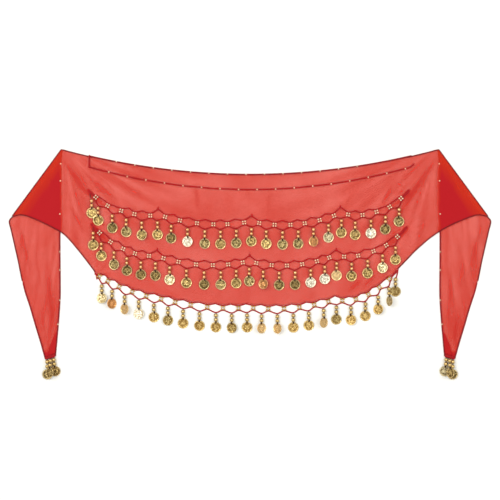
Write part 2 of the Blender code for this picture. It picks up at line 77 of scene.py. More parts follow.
def through(points, share):
    """The point at a share of the way along a smooth curve through evenly counted points."""
    last = len(points) - 1
    at = min(max(share, 0.0), 1.0) * last
    k = min(int(at), last - 1)
    t = at - k
    a, b, c, d = points[max(k - 1, 0)], points[k], points[k + 1], points[min(k + 2, last)]
    return tuple(
        0.5 * (2 * q + (r - p) * t + (2 * p - 5 * q + 4 * r - s) * t * t + (3 * q - p - 3 * r + s) * t ** 3)
        for p, q, r, s in zip(a, b, c, d))


def measured(points):
    """How far along a path each of its points is."""
    lengths = [0.0]
    for a, b in zip(points, points[1:]):
        lengths.append(lengths[-1] + (b - a).length)
    return lengths


def stretch_at(lengths, distance):
    """Which stretch of a measured path a distance falls in, and how far through that stretch."""
    k = min(max(bisect_left(lengths, distance) - 1, 0), len(lengths) - 2)
    return k, (distance - lengths[k]) / max(lengths[k + 1] - lengths[k], 1e-9)


class Line:
    """A path in the plane that can be read by distance along it."""

    def __init__(self, points):
        self.points = [Vector(p) for p in points]
        self.along = measured(self.points)
        self.length = self.along[-1]
        steps = [(b - a).normalized() for a, b in zip(self.points, self.points[1:])]
        self.headings = [(a + b).normalized() for a, b in zip(steps[:1] + steps, steps + steps[-1:])]

    def at(self, distance):
        """The point, the unit direction and the unit direction to its left at a distance."""
        k, share = stretch_at(self.along, min(max(distance, 0.0), self.length))
        heading = self.headings[k].lerp(self.headings[k + 1], share).normalized()
        return self.points[k].lerp(self.points[k + 1], share), heading, Vector((-heading.y, heading.x))


# %% [markdown]
# ## Where the cloth lies
# Chiffon has no stiffness of its own: laid on a table it follows the table, climbs over the tail where that
# lies behind it, and keeps a few soft creases from its folding. A cloth simulation would smooth away the few
# creases that matter, so they are placed here: one row for each, with its middle, length, heading, half
# width and height. Finer lines fan out from the top corners, where a scarf is tied and pulled, and run down
# the tails; a noise read by angle and distance gives those.

# %% Sizes of the laid scarf
CLOTH = 1.0               # room that the cloth takes up, as a wall
GAP = 0.3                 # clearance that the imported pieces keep
CORNER_X = 330.0          # top corners
CORNER_Y = 201.5
TOP_SAG = 44.5            # the top edge hangs this far between them
CREASE_X = 415.6          # low end of each tail's fold
CREASE_Y = 85.3
LAYER_LIFT = 1.6          # the front cloth's underside over a tail
LIFT_FROM_X = 310.0       # it climbs to that from here
LIFT_WIDTH = 18.0
# each crease's middle x and y, length, heading, half width and height: the main ones, then finer ones
CREASES = (
    (-306, 150, 92, -55, 9, 1.6), (-252, 128, 60, -40, 9, 1.2), (-303, 78, 56, -66, 8, 1.4),
    (302, 146, 104, 57, 9, 1.8), (241, 122, 44, 62, 7, 1.4), (186, -36, 40, 38, 7, 1.4),
    (208, -30, 36, 45, 7, 1.4), (-95, 118, 46, -84, 9, 0.9),
    (-294, 112, 34, -70, 5, 0.5), (-247, 137, 34, -55, 4.5, 0.5), (-226, 49, 34, -59, 5, 0.4),
    (-352, 150, 60, -52, 7, 0.5), (-268, 60, 44, -48, 5, 0.5), (-176, 128, 40, -24, 6, 0.4),
    (-60, 36, 30, -76, 6, 0.3), (34, 108, 50, 83, 8, 0.4), (96, 40, 32, 66, 6, 0.3),
    (174, 115, 40, 48, 6, 0.6), (228, 74, 36, 52, 5, 0.5), (268, 100, 40, 62, 5, 0.6),
    (65, -58, 20, 51, 4, 0.5), (109, -52, 18, 57, 4, 0.5), (356, 140, 70, 50, 7, 0.6),
    (300, 60, 46, 70, 6, 0.5))
TAIL_CREASES = (
    (398, 36, 90, 76, 9, 1.5), (352, -52, 120, 86, 10, 1.3),
    (372, -8, 76, 80, 6, 0.6), (345, 44, 80, 92, 6, 0.6), (362, -104, 60, 82, 5, 0.8))
PULL_DEG = 4.2            # angle between two pull lines
PULL_LONG = 95.0          # and how far one runs
PULL_HIGH = 0.35
PULLED_ABOVE = 8.0        # the lines meet this far above a corner
PULL_NEAR = (10, 40)      # they come in from this far out, over this length
PULL_FAR = (130, 170)     # and weaken from here
PULL_FADE = 0.65
TAIL_PULL_WIDE = 7.5
TAIL_PULL_SLANT = 60
TAIL_PULL_LONG = 70
NOISE_GAIN = 1.6          # brings smooth noise to about -1 to 1


def crease_shares(x, y, table):
    """For each crease near a point: how high it stands there, and how far across it the point is."""
    for cx, cy, length, heading, half, high in table:
        turn = radians(heading)
        along = ((x - cx) * cos(turn) + (y - cy) * sin(turn)) / (length / 2)
        across = ((y - cy) * cos(turn) - (x - cx) * sin(turn)) / half
        if abs(along) < 1 and abs(across) < 1:
            yield high * cos(along * pi / 2) * cos(across * pi / 2) ** 2, across


def top_edge(x):
    return CORNER_Y - TOP_SAG * (1.0 - (x / CORNER_X) ** 2)


def pulls(x, y):
    """Soft lines that fan out from a top corner, and fade near it and far from it."""
    dx = CORNER_X - abs(x)
    dy = CORNER_Y + PULLED_ABOVE - y
    far = hypot(dx, dy)
    angle = degrees(atan2(dy, dx))
    wave = noise.noise((angle / PULL_DEG, far / PULL_LONG, 4.7 if x > 0 else 9.2))
    return NOISE_GAIN * wave * climb(far, *PULL_NEAR) * (1.0 - PULL_FADE * climb(far, *PULL_FAR))


def tail_pulls(x, y):
    """Soft lines down the length of a tail."""
    across = abs(x) / TAIL_PULL_WIDE + y / TAIL_PULL_SLANT
    return NOISE_GAIN * noise.noise((across, y / TAIL_PULL_LONG, 2.4 if x > 0 else 6.1))


def raised(x, y, table, lines):
    """Height of the cloth's face on the table, with its creases and pull lines."""
    return CLOTH + sum(rise for rise, _ in crease_shares(x, y, table)) + PULL_HIGH * max(0.0, lines)


def cloth_face(x, y):
    """Height of the body's face, on the table or on a tail."""
    return raised(x, y, CREASES, pulls(x, y)) + LAYER_LIFT * climb(abs(x), LIFT_FROM_X, LIFT_WIDTH)


def tail_face(x, y):
    return raised(abs(x), y, TAIL_CREASES, tail_pulls(x, y))


print("creases:", len(CREASES), "in the body,", 2 * len(TAIL_CREASES), "in the tails")

# %% [markdown]
# ## The nets' lines
# Each net hangs in four swags between its ends and three tacks. The bottom one also gives the hem its
# shape, because the cloth is drawn up to it, so these lines come before the cloth. No maker spaces 22
# clusters evenly: they crowd towards the ends and slip along the chain, so each net lists its own slips.

# %% The three nets' lines
COINS = 22
SWAG_STEPS = 16
DROOP_STEPS = 8           # of those, how many droop more at each end of a net
CHAIN_LIFT = 0.7          # middle of a chain over the cloth's face
TABLE_LIFT = 1.0          # and of the bottom net's over the table


class Net:
    """A net through five points. Its row says how deep its swags dip and its ends droop, how far its first
    and last clusters are in, how the others shift, bunch and slip, how far its coins hang to one side, its
    upper chain's peak between two clusters, the cells where that stays flat, and what the net lies on."""
    hang = 0.0
    peak = 4.2
    coin_first = True
    on_cloth = True

    def __init__(self, **row):
        vars(self).update(row)
        points = []
        for a, b, dip in zip(self.points, self.points[1:], self.dips):
            for k in range(SWAG_STEPS):
                t = k / SWAG_STEPS
                x, y = between(a, b, t)
                points.append((x, y - 4 * dip * t * (1 - t)))
        points.append(self.points[-1])
        for k in range(DROOP_STEPS):
            for at, droop in zip((k, -1 - k), self.droop):
                x, y = points[at]
                points[at] = (x, y - droop * sin(pi * k / DROOP_STEPS))
        self.line = Line(points)
        lead_in, lead_out = self.lead
        self.clusters = []
        for k in range(COINS):
            share = k / (COINS - 1)
            drift = self.shift * sin(pi * share) - self.bunch * sin(FULL_TURN * share)
            self.clusters.append(lead_in + (self.line.length - lead_in - lead_out) * share + drift
                                 + self.slips.get(k, 0.0))

    def place(self, distance, up_by, along_by=0.0):
        """A place by its distance along the net and its offsets from the middle line."""
        at, along, up = self.line.at(distance)
        return tuple(at + up_by * up + along_by * along)

    def height(self, x, y):
        return cloth_face(x, y) + CHAIN_LIFT if self.on_cloth else TABLE_LIFT

    def laid(self, distance, up_by):
        x, y = self.place(distance, up_by)
        return (x, y, self.height(x, y))


NETS = {
    "coin_row_1": Net(
        points=((-282.3, 130.1), (-159.3, 87), (1.4, 75.6), (159.3, 90.5), (277.7, 130.1)),
        dips=(15, 10, 12.5, 18.5), droop=(3.4, 3), lead=(17.5, 19.8), shift=2.5, bunch=4.5,
        slips={3: -2, 7: 3, 8: 4.5, 9: 1.5, 10: 3, 11: 2, 12: 1.5, 13: 2}, flat=(1, 2, 20, 21)),
    "coin_row_2": Net(
        points=((-276.7, 70.4), (-164.7, 15.5), (-2.3, 6), (148.2, 16), (273.9, 65.4)),
        dips=(15.5, 11, 12, 18.5), droop=(1.6, 2.4), lead=(20, 23), shift=1, bunch=4,
        slips={3: -3, 4: -3.5, 5: -3.5, 6: -2.5, 7: 2, 8: 4.5, 9: 4.5, 10: 3, 16: -3.5, 17: -2.5, 18: -3},
        flat=(1, 20, 21)),
    "coin_row_3": Net(
        points=((-270, -15.9), (-157.5, -59), (0, -74.8), (148.8, -61), (256.5, -11.2)),
        dips=(7, 6.5, 7.5, 18), droop=(0, 0), lead=(7.5, 18.7), shift=-1.5, bunch=9,
        slips={1: -5, 2: -5.5, 3: -4, 4: -2, 7: 1.5, 8: 4, 9: 4, 10: 3.5, 11: 1.5}, flat=(21,),
        hang=2, peak=3, coin_first=False, on_cloth=False)}
HEM_NET = NETS["coin_row_3"]
print("net lengths in mm:", {name: round(net.line.length) for name, net in NETS.items()})

# %% [markdown]
# ## How the chains of a net run
# A net is two chains. They lie close together at its ends, keep a cluster of four beads between them at
# each station, and part between two clusters: the upper chain is drawn up to a point, and the lower one
# sags to a valley, where a coin hangs. Each chain is kept as a short list of knots, a distance along the
# net and a height over its middle line.

# %% Knots of the two chains
CLUSTER_HALF = 4.0        # from a cluster's middle to the chain above or below it
END_HALF = 0.9
CLOSE_HALF = 0.7          # where both chains run as one strand
CLOSE_SHARE = 0.62        # and how much of an end cell they do so
TACK_RISE = 6.0
FLAT_RISE = 0.8
VALLEY = 4.6
POINTED = 1.4             # 1 would be a straight rise to the peak


def tie(net):
    """Adds to a net its chains' knots, the valleys where its coins hang, and its tacked peaks."""
    stations = [(0.0, END_HALF), *((d, CLUSTER_HALF) for d in net.clusters), (net.line.length, END_HALF)]
    tacks = net.line.along[SWAG_STEPS:-1:SWAG_STEPS]
    net.upper = []
    net.lower = []
    net.valleys = []
    net.tacked = []

    def knot(distance, half):
        net.upper.append((distance, half))
        net.lower.append((distance, -half))

    for cell, ((start, near), (end, far)) in enumerate(zip(stations, stations[1:])):
        middle = (start + end) / 2
        tall = (near + far) / 2
        knot(start, near)
        if cell in (0, COINS):
            knot(start + (end - start) * (CLOSE_SHARE if cell == 0 else 1 - CLOSE_SHARE), CLOSE_HALF)
            net.valleys.append((middle, -tall - VALLEY / 2))
            continue
        tacked = net.on_cloth and any(abs(middle - tack) < (end - start) / 2 for tack in tacks)
        rise = TACK_RISE if tacked else FLAT_RISE if cell in net.flat else net.peak
        net.upper.append((middle, tall + rise))
        net.tacked += net.upper[-1:] if tacked else []
        net.valleys.append((middle + net.hang, -tall - VALLEY))
        net.lower.append(net.valleys[-1])
    knot(net.line.length, END_HALF)
    net.valleys.pop(-1 if net.coin_first else 0)


def pointed(t, up):
    """The way of the upper chain, like a hung thread up to each peak."""
    return t ** POINTED if up else 1 - (1 - t) ** POINTED


def waved(t, up):
    """The way of the lower chain, soft at peaks and valleys."""
    return climb(t, 0, 1)


def chain_height(knots, distance, way):
    for (d0, h0), (d1, h1) in zip(knots, knots[1:]):
        if distance <= d1:
            return h0 + (h1 - h0) * way((distance - d0) / (d1 - d0), h1 > h0)
    return knots[-1][1]


for net in NETS.values():
    tie(net)
print("tacked peaks:", {name: len(net.tacked) for name, net in NETS.items()})

# %% [markdown]
# ## The cloth's grid
# The whole scarf is one cut, so it is one mesh: columns run from the left tip, up the left tail, round
# its fold, across the body, and down again on the right. Every column starts on the long top edge and
# ends on the hem. A fold is a half turn of small radius. The body's columns pass through a short table of
# sections at each flank. Between them the hem is sewn to the bottom net's upper chain, so it is drawn up
# with each point of that chain and comes down to each cluster.

# %% Sections of the cloth
# x on the top edge, then x and y on the hem
LEFT_FLANK = ((272, 271.5, -11.5), (288, 281, 1), (303, 300, 25.5), (315, 324.3, 52.9),
              (320.5, 343.7, 64.5), (324, 369.6, 77.4), (326.5, 397, 87.2))
RIGHT_FLANK = ((268, 259, -6.5), (283, 274, 9), (298, 291, 26.5), (313, 318, 49.5),
               (320.5, 343, 65.5), (324, 369, 77.5), (326.5, 397, 87.2))
# x and y on a tail's inner edge, then on its outer edge
TAIL_SECTIONS = ((331.8, 168, 421, 76), (332.8, 120, 417.5, 60), (333.6, 72, 412, 36),
                 (333.8, 30, 405, 5), (333.5, -15, 396, -38), (333.5, -55, 384.5, -70),
                 (336, -95, 374.5, -104), (339, -130, 364.5, -137), (341.5, -158, 357.5, -162.5))
FLANK_COLUMNS = 26
SWAG_COLUMNS = 60
HEM_OVER_CHAIN = 1.3      # from the chain's middle to the hem's
TAIL_COLUMNS = 70
FOLD_COLUMNS = 9
ROWS = 60
SHEET = 0.35              # thickness of the cloth that is drawn
FOLD_R = LAYER_LIFT / 2   # the fold's radius, to the middle of the sheet
FOLD_IN = FOLD_R + CLOTH / 2      # the fold's columns start and end this far inside its outline


def crease_line(side, inward):
    """The fold of a tail, moved into the cloth: its top and low end and the direction into the cloth."""
    top = Vector((side * CORNER_X, CORNER_Y))
    low = Vector((side * CREASE_X, CREASE_Y))
    along = (low - top).normalized()
    into = Vector((side * along.y, -side * along.x))
    return top + inward * into, low + inward * into, into


def flank_sections(side, table):
    """Sections from the end of the bottom net out to the fold."""
    top, low, _ = crease_line(side, FOLD_IN)
    sections = [(side * top_x, top_edge(top_x), side * hem_x, hem_y) for top_x, hem_x, hem_y in table]
    sections.append((*top, *low))
    return [through(sections, k / FLANK_COLUMNS) for k in range(FLANK_COLUMNS + 1)]


def swag_sections():
    """Sections between the flanks, with the hem on the bottom net's upper chain."""
    tacks = HEM_NET.line.along[::SWAG_STEPS]
    steps = SWAG_COLUMNS * (len(tacks) - 1)
    sections = []
    for k in range(1, steps):
        swag, column = divmod(k, SWAG_COLUMNS)
        distance = tacks[swag] + (tacks[swag + 1] - tacks[swag]) * column / SWAG_COLUMNS
        height = chain_height(HEM_NET.upper, distance, pointed)
        top_x = -LEFT_FLANK[0][0] + (RIGHT_FLANK[0][0] + LEFT_FLANK[0][0]) * k / steps
        sections.append((top_x, top_edge(top_x), *HEM_NET.place(distance, height + HEM_OVER_CHAIN)))
    return sections


def laid_columns(sections, face):
    """A column of points on the middle of the sheet for each section."""
    columns = []
    for ax, ay, bx, by in sections:
        flat = [between((ax, ay), (bx, by), r / ROWS) for r in range(ROWS + 1)]
        columns.append([(x, y, face(x, y) - SHEET / 2) for x, y in flat])
    return columns


def fold_columns(side):
    """Columns round a fold, from the body down to the tail."""
    top, low, into = crease_line(side, FOLD_IN)
    columns = []
    for step in range(1, FOLD_COLUMNS):
        turn = pi / 2 - pi * step / FOLD_COLUMNS
        out = FOLD_R * cos(turn) * into
        z = CLOTH + FOLD_R - SHEET / 2 + FOLD_R * sin(turn)
        columns.append([(*(top.lerp(low, r / ROWS) - out), z) for r in range(ROWS + 1)])
    return columns


def tail_columns(side):
    top, low, _ = crease_line(side, FOLD_IN)
    sections = [(abs(top.x), top.y, abs(low.x), low.y), *TAIL_SECTIONS]
    spread = [through(sections, c / TAIL_COLUMNS) for c in range(TAIL_COLUMNS + 1)]
    return laid_columns([(side * ax, ay, side * bx, by) for ax, ay, bx, by in spread], tail_face)


left_columns = tail_columns(-1)[::-1] + fold_columns(-1)[::-1]
body_columns = laid_columns(flank_sections(-1, LEFT_FLANK)[-2::-1] + swag_sections()
                            + flank_sections(1, RIGHT_FLANK), cloth_face)
COLUMNS = left_columns + body_columns + fold_columns(1) + tail_columns(1)
BODY_FROM = len(left_columns)
BODY_TO = BODY_FROM + len(body_columns)
print("cloth grid:", len(COLUMNS), "columns of", ROWS + 1, "points")

# %% [markdown]
# ## Making meshes and finishes
# One function makes a mesh object from points in millimetres, one adds a node to any tree, and one turns
# a colour's hex name into the linear value that the renderer works in.

# %% Helpers for meshes, colours and nodes
def linear(name, alpha=1.0):
    """An sRGB hex colour as a linear one."""
    parts = [int(name[i:i + 2], 16) / 255 for i in (1, 3, 5)]
    return (*[p / 12.92 if p <= 0.04045 else ((p + 0.055) / 1.055) ** 2.4 for p in parts], alpha)


def feed(node, *sources, **named):
    """Feeds a node's sockets in order, or by name with _ for a space. A value is set, an output or a node's
    first one is linked, and a list is linked part by part."""
    for key, source in (*enumerate(sources), *named.items()):
        socket = node.inputs[key if isinstance(key, int) else key.replace("_", " ")]
        for part in source if isinstance(source, list) else [source]:
            if isinstance(part, bpy.types.Node):
                part = next(output for output in part.outputs if output.enabled)
            if isinstance(part, bpy.types.NodeSocket):
                node.id_data.links.new(part, socket)
            else:
                socket.default_value = part


def add(tree, kind, *sources, **named):
    """A new node: a small name is one of its settings, and a name with a capital is a socket to feed."""
    node = tree.nodes.new(kind)
    for key, value in named.items():
        if key.islower():
            setattr(node, key, value)
    feed(node, *sources, **{key: value for key, value in named.items() if not key.islower()})
    return node


def blend(tree, share, low, high, **settings):
    """Mixes two colours."""
    return add(tree, "ShaderNodeMix", data_type="RGBA", Factor=share, A=low, B=high, **settings)


def clouds(tree, place, size_mm, detail):
    """Soft noise with patches of one size."""
    return add(tree, "ShaderNodeTexNoise", place, Scale=1 / (size_mm * MM), Detail=detail)


def new_finish(name):
    """An empty material: its tree and its one shader."""
    made = bpy.data.materials.new(name)
    made.use_nodes = True
    tree = made.node_tree
    tree.nodes.clear()
    shader = add(tree, "ShaderNodeBsdfPrincipled")
    add(tree, "ShaderNodeOutputMaterial", shader)
    return made, tree, shader


def in_scene(name, data):
    """A new object in the scene."""
    made = bpy.data.objects.new(name, data)
    bpy.context.scene.collection.objects.link(made)
    return made


def mesh_object(name, points, faces, finish=None):
    """A smooth mesh object at the origin from points in millimetres."""
    mesh = bpy.data.meshes.new(name)
    mesh.from_pydata([tuple(MM * value for value in p) for p in points], [], faces)
    mesh.shade_smooth()
    if finish:
        mesh.materials.append(finish)
    return in_scene(name, mesh)


def freeze(made, name=None):
    """Turns an object's evaluated shape into a plain mesh, under a new name where one is given."""
    graph = bpy.context.evaluated_depsgraph_get()
    mesh = bpy.data.meshes.new_from_object(made.evaluated_get(graph))
    if made.type != "MESH":
        bpy.data.objects.remove(made)
        made = in_scene(name, mesh)
    made.modifiers.clear()
    made.data = mesh
    if name:
        made.name = name
        mesh.name = name
        mesh.shade_smooth()
    return made


def thicken(made):
    """Gives an open sheet of cloth its thickness, so that it is a closed shell: its area before that."""
    area = sum(polygon.area for polygon in made.data.polygons)
    wall = made.modifiers.new("wall", "SOLIDIFY")
    wall.thickness = SHEET * MM
    wall.offset = 0.0
    freeze(made)
    return area


def set_values(mesh, name, kind, values):
    """A value on each of a mesh's points."""
    field = mesh.attributes.new(name, kind, "POINT")
    key = {"FLOAT_VECTOR": "vector", "FLOAT_COLOR": "color"}.get(kind, "value")
    field.data.foreach_set(key, np.array(values).ravel().tolist())


def triangles(pieces):
    """The triangles of each piece by name."""
    return {name: sum(len(polygon.vertices) - 2 for polygon in made.data.polygons)
            for name, made in pieces.items()}


# %% [markdown]
# ## Sheer red chiffon
# Chiffon is woven from fine, hard-twisted threads with open space between them, so about half of the
# light goes straight through one layer: over white it looks coral, and where two layers lie on each other
# it turns a deep crimson. One shader with an alpha says just that, and two layers darken by themselves.
# The threads are 0.1 mm apart, too fine to show, so the crepe is drawn 1.4 mm coarse. An attribute holds how
# dense the cloth lies: where it is gathered or drawn together at the ends of the nets, and painted shade
# along its creases and where it lies double. With it the colour goes from coral to crimson, which is partly
# painted shade too: thin cloth is lit through from the pale table below it, and dense cloth is not.

# %% The chiffon's finish
CREPE_MM = 1.4
CLOUD_MM = 60.0


def chiffon_finish(name, thin, dense, thin_alpha, dense_alpha):
    finish, tree, shader = new_finish(name)
    uv = add(tree, "ShaderNodeUVMap", uv_map="cut")
    density = add(tree, "ShaderNodeAttribute", attribute_name="drawn_close")
    crepe = clouds(tree, uv, CREPE_MM, 2.0)
    grain = add(tree, "ShaderNodeMapRange", crepe, To_Min=-0.03, To_Max=0.03)
    cloudy = add(tree, "ShaderNodeMapRange", clouds(tree, uv, CLOUD_MM, 3.0), From_Min=0.3, From_Max=0.7,
                 To_Min=-0.08, To_Max=0.08)
    uneven = add(tree, "ShaderNodeMath", grain, cloudy, operation="ADD")
    total = add(tree, "ShaderNodeMath", density.outputs["Fac"], uneven, operation="ADD", use_clamp=True)
    feed(shader, Base_Color=blend(tree, total, linear(thin), linear(dense)),
         Alpha=add(tree, "ShaderNodeMapRange", total, To_Min=thin_alpha, To_Max=dense_alpha),
         Normal=add(tree, "ShaderNodeBump", Strength=0.12, Distance=0.0002, Height=crepe), Roughness=0.6,
         Specular_IOR_Level=0.2, Sheen_Weight=0.12, Sheen_Roughness=0.4, Sheen_Tint=linear("#ff8a70"))
    return finish


# coral for thin cloth and crimson for dense: partly the dye, partly painted shade for the table's light that
# comes through thin cloth only
CHIFFON = chiffon_finish("sheer_red_chiffon", "#ea3602", "#be0412", 0.41, 0.83)

# %% [markdown]
# ## The scarf's cloth
# The grid becomes one open sheet, with its cut laid out as a UV map in metres, and Solidify gives it a real
# thickness, so that it is a closed shell with faces on both sides. Density is worked out from the creases,
# whose shade is painted into it, and the pull lines, partly denser cloth and partly painted shade, from how
# near a place is to a net's end, where the cloth is drawn together in fans, from where it lies double, which
# deepens it with painted shade, and from how far down a tail it is. Along a fold the cloth is seen on edge,
# so it is densest there.

# %% How dense the cloth lies
GATHER_REACH = 42.0       # how far the gathers run from a net's end
GATHER_FANS = 9.0
DRAWN_REACH = 52.0        # how far along a net from its end the cloth is drawn together
DRAWN_HALF = 5.5          # and how far to each side
DRAWN_FROM = 9.0          # it is most drawn together this far in from the end
DRAWN_BELOW = 2.0         # and a little below the net
DRAWN_STEPS = 14
DOUBLE_FADE = 32.0        # where the cloth lies double its painted shade deepens over this distance from the fold
KNEE_X = 397.0            # over a tail the hem comes down from here towards the middle
KNEE_Y = 87.0
KNEE_SLOPE = 0.42
OPEN = 0.2                # density of cloth that lies flat
FOLDED = 0.9              # and of cloth seen on edge
CREST_MOST = 1.3          # no crease paints a deeper shade than one of this height
BODY_CREASE_SHADE = 0.29       # what each thing adds: painted shade of creases, and pull lines that are partly painted shade, in the body
BODY_LINE_SHADE = 0.16
GATHERED = 0.4            # gathers, and cloth drawn together along a net
DRAWN = 0.6
TAIL_CREASE_SHADE = 0.22       # creases, whose shade is painted, and lines, partly painted shade, in a tail; its lower part, and its pleated end
TAIL_LINE_SHADE = 0.12
TAIL_LOW = 0.2
PLEATED = 0.7
OVER_TAIL = (328, 6)      # and where they come in: a start, and the length that it takes
TAIL_LOW_FROM_Y = (60, -220)
PLEATED_FROM_Y = (-149, -7)
HEM_SOFT = 6


def drawn_places():
    """Places along each net near its ends, with how strongly the cloth is drawn together there."""
    found = []
    for net in NETS.values():
        for k in range(DRAWN_STEPS if net.on_cloth else 0):
            far = DRAWN_REACH * k / DRAWN_STEPS
            strength = (1.0 - far / DRAWN_REACH) ** 0.7 * climb(0.3 + far / DRAWN_FROM, 0, 1)
            for distance in (far, net.line.length - far):
                found.append((net.place(distance, -DRAWN_BELOW), strength))
    return found


NET_ENDS = [(net.points[0], 1) for net in NETS.values()] + [(net.points[-1], -1) for net in NETS.values()]
DRAWN_PLACES = drawn_places()


def gathers(x, y):
    """Fans of small pleats that run out from the ends of the nets."""
    total = 0.0
    for (ex, ey), way in NET_ENDS:
        far = hypot(x - ex, y - ey)
        if far < GATHER_REACH:
            angle = atan2(y - ey, (x - ex) * way)
            fade = (1 - far / GATHER_REACH) ** 1.5 * climb(far, 0, 5)
            pleat = max(0.0, cos(angle * GATHER_FANS + ex)) ** 2
            total += fade * pleat * (0.4 + 0.6 * max(0.0, cos(angle)))
    return min(total, 1.0)


def drawn_at(x, y):
    """How strongly the cloth is drawn together by the ends of a net: 0 to 1."""
    most = 0.0
    for (px, py), strength in DRAWN_PLACES:
        far = hypot(x - px, y - py) / DRAWN_HALF
        if far < 1:
            most = max(most, strength * (1 - far * far))
    return most


def double_at(x, y):
    """How far the painted shade of double cloth has come in from the fold of a tail: 0 to 1. Two layers
    darken by themselves, and this deepens them for the table's light that no longer comes through.
    """
    top, _, into = crease_line(1, 0.0)
    return climb((Vector((abs(x), y)) - top).dot(into), 0, DOUBLE_FADE)


def crests(x, y, table):
    """Painted shade of the creases: how much they darken the cloth, most on their far side."""
    return sum(min(rise, CREST_MOST) * (0.2 + 0.8 * climb(across, -0.5, 1) * climb(across, 1.2, -1))
               for rise, across in crease_shares(x, y, table))


def body_density(x, y):
    # painted shade where the body lies over a tail, beyond what two layers give by themselves
    over_tail_shade = climb(abs(x), *OVER_TAIL) * double_at(x, y)
    # painted shade: creases darken the cloth most on their far side, and pull lines darken and lighten it in
    # streaks, partly denser cloth and partly painted shade
    lines = BODY_CREASE_SHADE * crests(x, y, CREASES) + BODY_LINE_SHADE * pulls(x, y)
    return OPEN + lines + GATHERED * gathers(x, y) + DRAWN * drawn_at(x, y) + over_tail_shade


def tail_density(x, y):
    hem_y = KNEE_Y - KNEE_SLOPE * max(0.0, KNEE_X - abs(x))
    # painted shade where the tail lies under the body, beyond what two layers give by themselves
    under_body_shade = climb(y, hem_y, HEM_SOFT) * double_at(x, y)
    # painted shade of the tail's creases, and of its lines, which are partly denser cloth
    lines = TAIL_CREASE_SHADE * crests(abs(x), y, TAIL_CREASES) + TAIL_LINE_SHADE * tail_pulls(x, y)
    drawn_in = TAIL_LOW * climb(y, *TAIL_LOW_FROM_Y) + PLEATED * climb(y, *PLEATED_FROM_Y)
    return OPEN + lines + under_body_shade + drawn_in


def density_at(column, x, y):
    """0 where the cloth lies open, 1 where it is drawn together, seen on edge, or darkest with painted
    shade.
    """
    if BODY_FROM <= column < BODY_TO:
        return body_density(x, y)
    if BODY_FROM - FOLD_COLUMNS <= column < BODY_TO + FOLD_COLUMNS:
        return FOLDED
    return tail_density(x, y)


print("places where the nets draw the cloth together:", len(DRAWN_PLACES))


# %% Build the cloth
def cloth_sheet():
    """The scarf's cloth, its area and its length along the middle."""
    across = ROWS + 1
    faces = []
    for c in range(len(COLUMNS) - 1):
        for a in range(c * across, c * across + ROWS):
            faces.append((a, a + 1, a + across + 1, a + across))
    made = mesh_object("chiffon_scarf", [p for column in COLUMNS for p in column], faces, CHIFFON)
    density = [density_at(c, x, y) for c, column in enumerate(COLUMNS) for x, y, _ in column]
    set_values(made.data, "drawn_close", "FLOAT", density)
    along = np.array(measured([Vector(column[ROWS // 2]) for column in COLUMNS])) * MM
    down = np.array([measured([Vector(p) for p in column]) for column in COLUMNS]) * MM
    cut = made.data.uv_layers.new(name="cut")
    for loop, corner in zip(made.data.loops, cut.data):
        c, r = divmod(loop.vertex_index, across)
        corner.uv = (along[c], down[c][r])
    return made, thicken(made), along[-1]


scarf, scarf_area, scarf_length = cloth_sheet()
print("cloth:", triangles({"chiffon_scarf": scarf}), f"{scarf_area:.4f} m2, {scarf_length:.3f} m long")

# %% [markdown]
# ## Geometry Nodes in this lesson
# Stitches, beads and coins repeat by the hundred along paths that are already known. A node tree
# describes one of them once, with its sizes as named inputs, and sets it along a curve or on a set of
# points. Each tree ends by realising its instances and setting the finish, and its result is then frozen
# into a plain mesh.

# %% Helpers for node trees
def new_tree(name, **inputs):
    """A geometry tree with named inputs after its geometry: the tree and its input node's outputs."""
    tree = bpy.data.node_groups.new(name, "GeometryNodeTree")
    for label, kind in dict(Geometry="Geometry", **inputs).items():
        tree.interface.new_socket(label.replace("_", " "), in_out="INPUT", socket_type="NodeSocket" + kind)
    tree.interface.new_socket("Geometry", in_out="OUTPUT", socket_type="NodeSocketGeometry")
    return tree, add(tree, "NodeGroupInput").outputs


def end_tree(tree, geometry, finish):
    """Realises what the tree made, gives it its finish and sends it out."""
    real = add(tree, "GeometryNodeRealizeInstances", geometry)
    add(tree, "NodeGroupOutput", add(tree, "GeometryNodeSetMaterial", real, Material=finish))
    return tree


def circle(tree, sides, radius):
    return add(tree, "GeometryNodeCurvePrimitiveCircle", Resolution=sides, Radius=radius)


def set_along(tree, given, shape, axis, turned=None):
    """Sets a shape on the tree's curve at each stitch: one axis along the path, and its Z to turned."""
    places = add(tree, "GeometryNodeCurveToPoints", given["Geometry"], mode="LENGTH",
                 Length=given["Stitch Spacing"])
    rotation = add(tree, "FunctionNodeAlignRotationToVector", axis=axis, Vector=places.outputs["Tangent"])
    if turned:
        rotation = add(tree, "FunctionNodeAlignRotationToVector", rotation, axis="Z", pivot_axis=axis,
                       Vector=turned)
    return add(tree, "GeometryNodeInstanceOnPoints", places, Instance=shape, Rotation=rotation)


def run_tree(made, name, tree, **values):
    """Gives an object the tree with its inputs' values, and freezes the result under a new name."""
    grow = made.modifiers.new(tree.name, "NODES")
    grow.node_group = tree
    for item in tree.interface.items_tree:
        label = item.name.replace(" ", "_")
        if item.in_out == "INPUT" and label in values:
            grow[item.identifier] = values[label]
    return freeze(made, name)


def path_curve(name, paths):
    """A curve object with one straight-stepped line for each path, in millimetres."""
    curve = bpy.data.curves.new(name + "_path", "CURVE")
    curve.dimensions = "3D"
    for path in paths:
        spline = curve.splines.new("POLY")
        spline.points.add(len(path) - 1)
        for point, (x, y, z) in zip(spline.points, path):
            point.co = (MM * x, MM * y, MM * z, 1.0)
    return in_scene(name + "_path", curve)


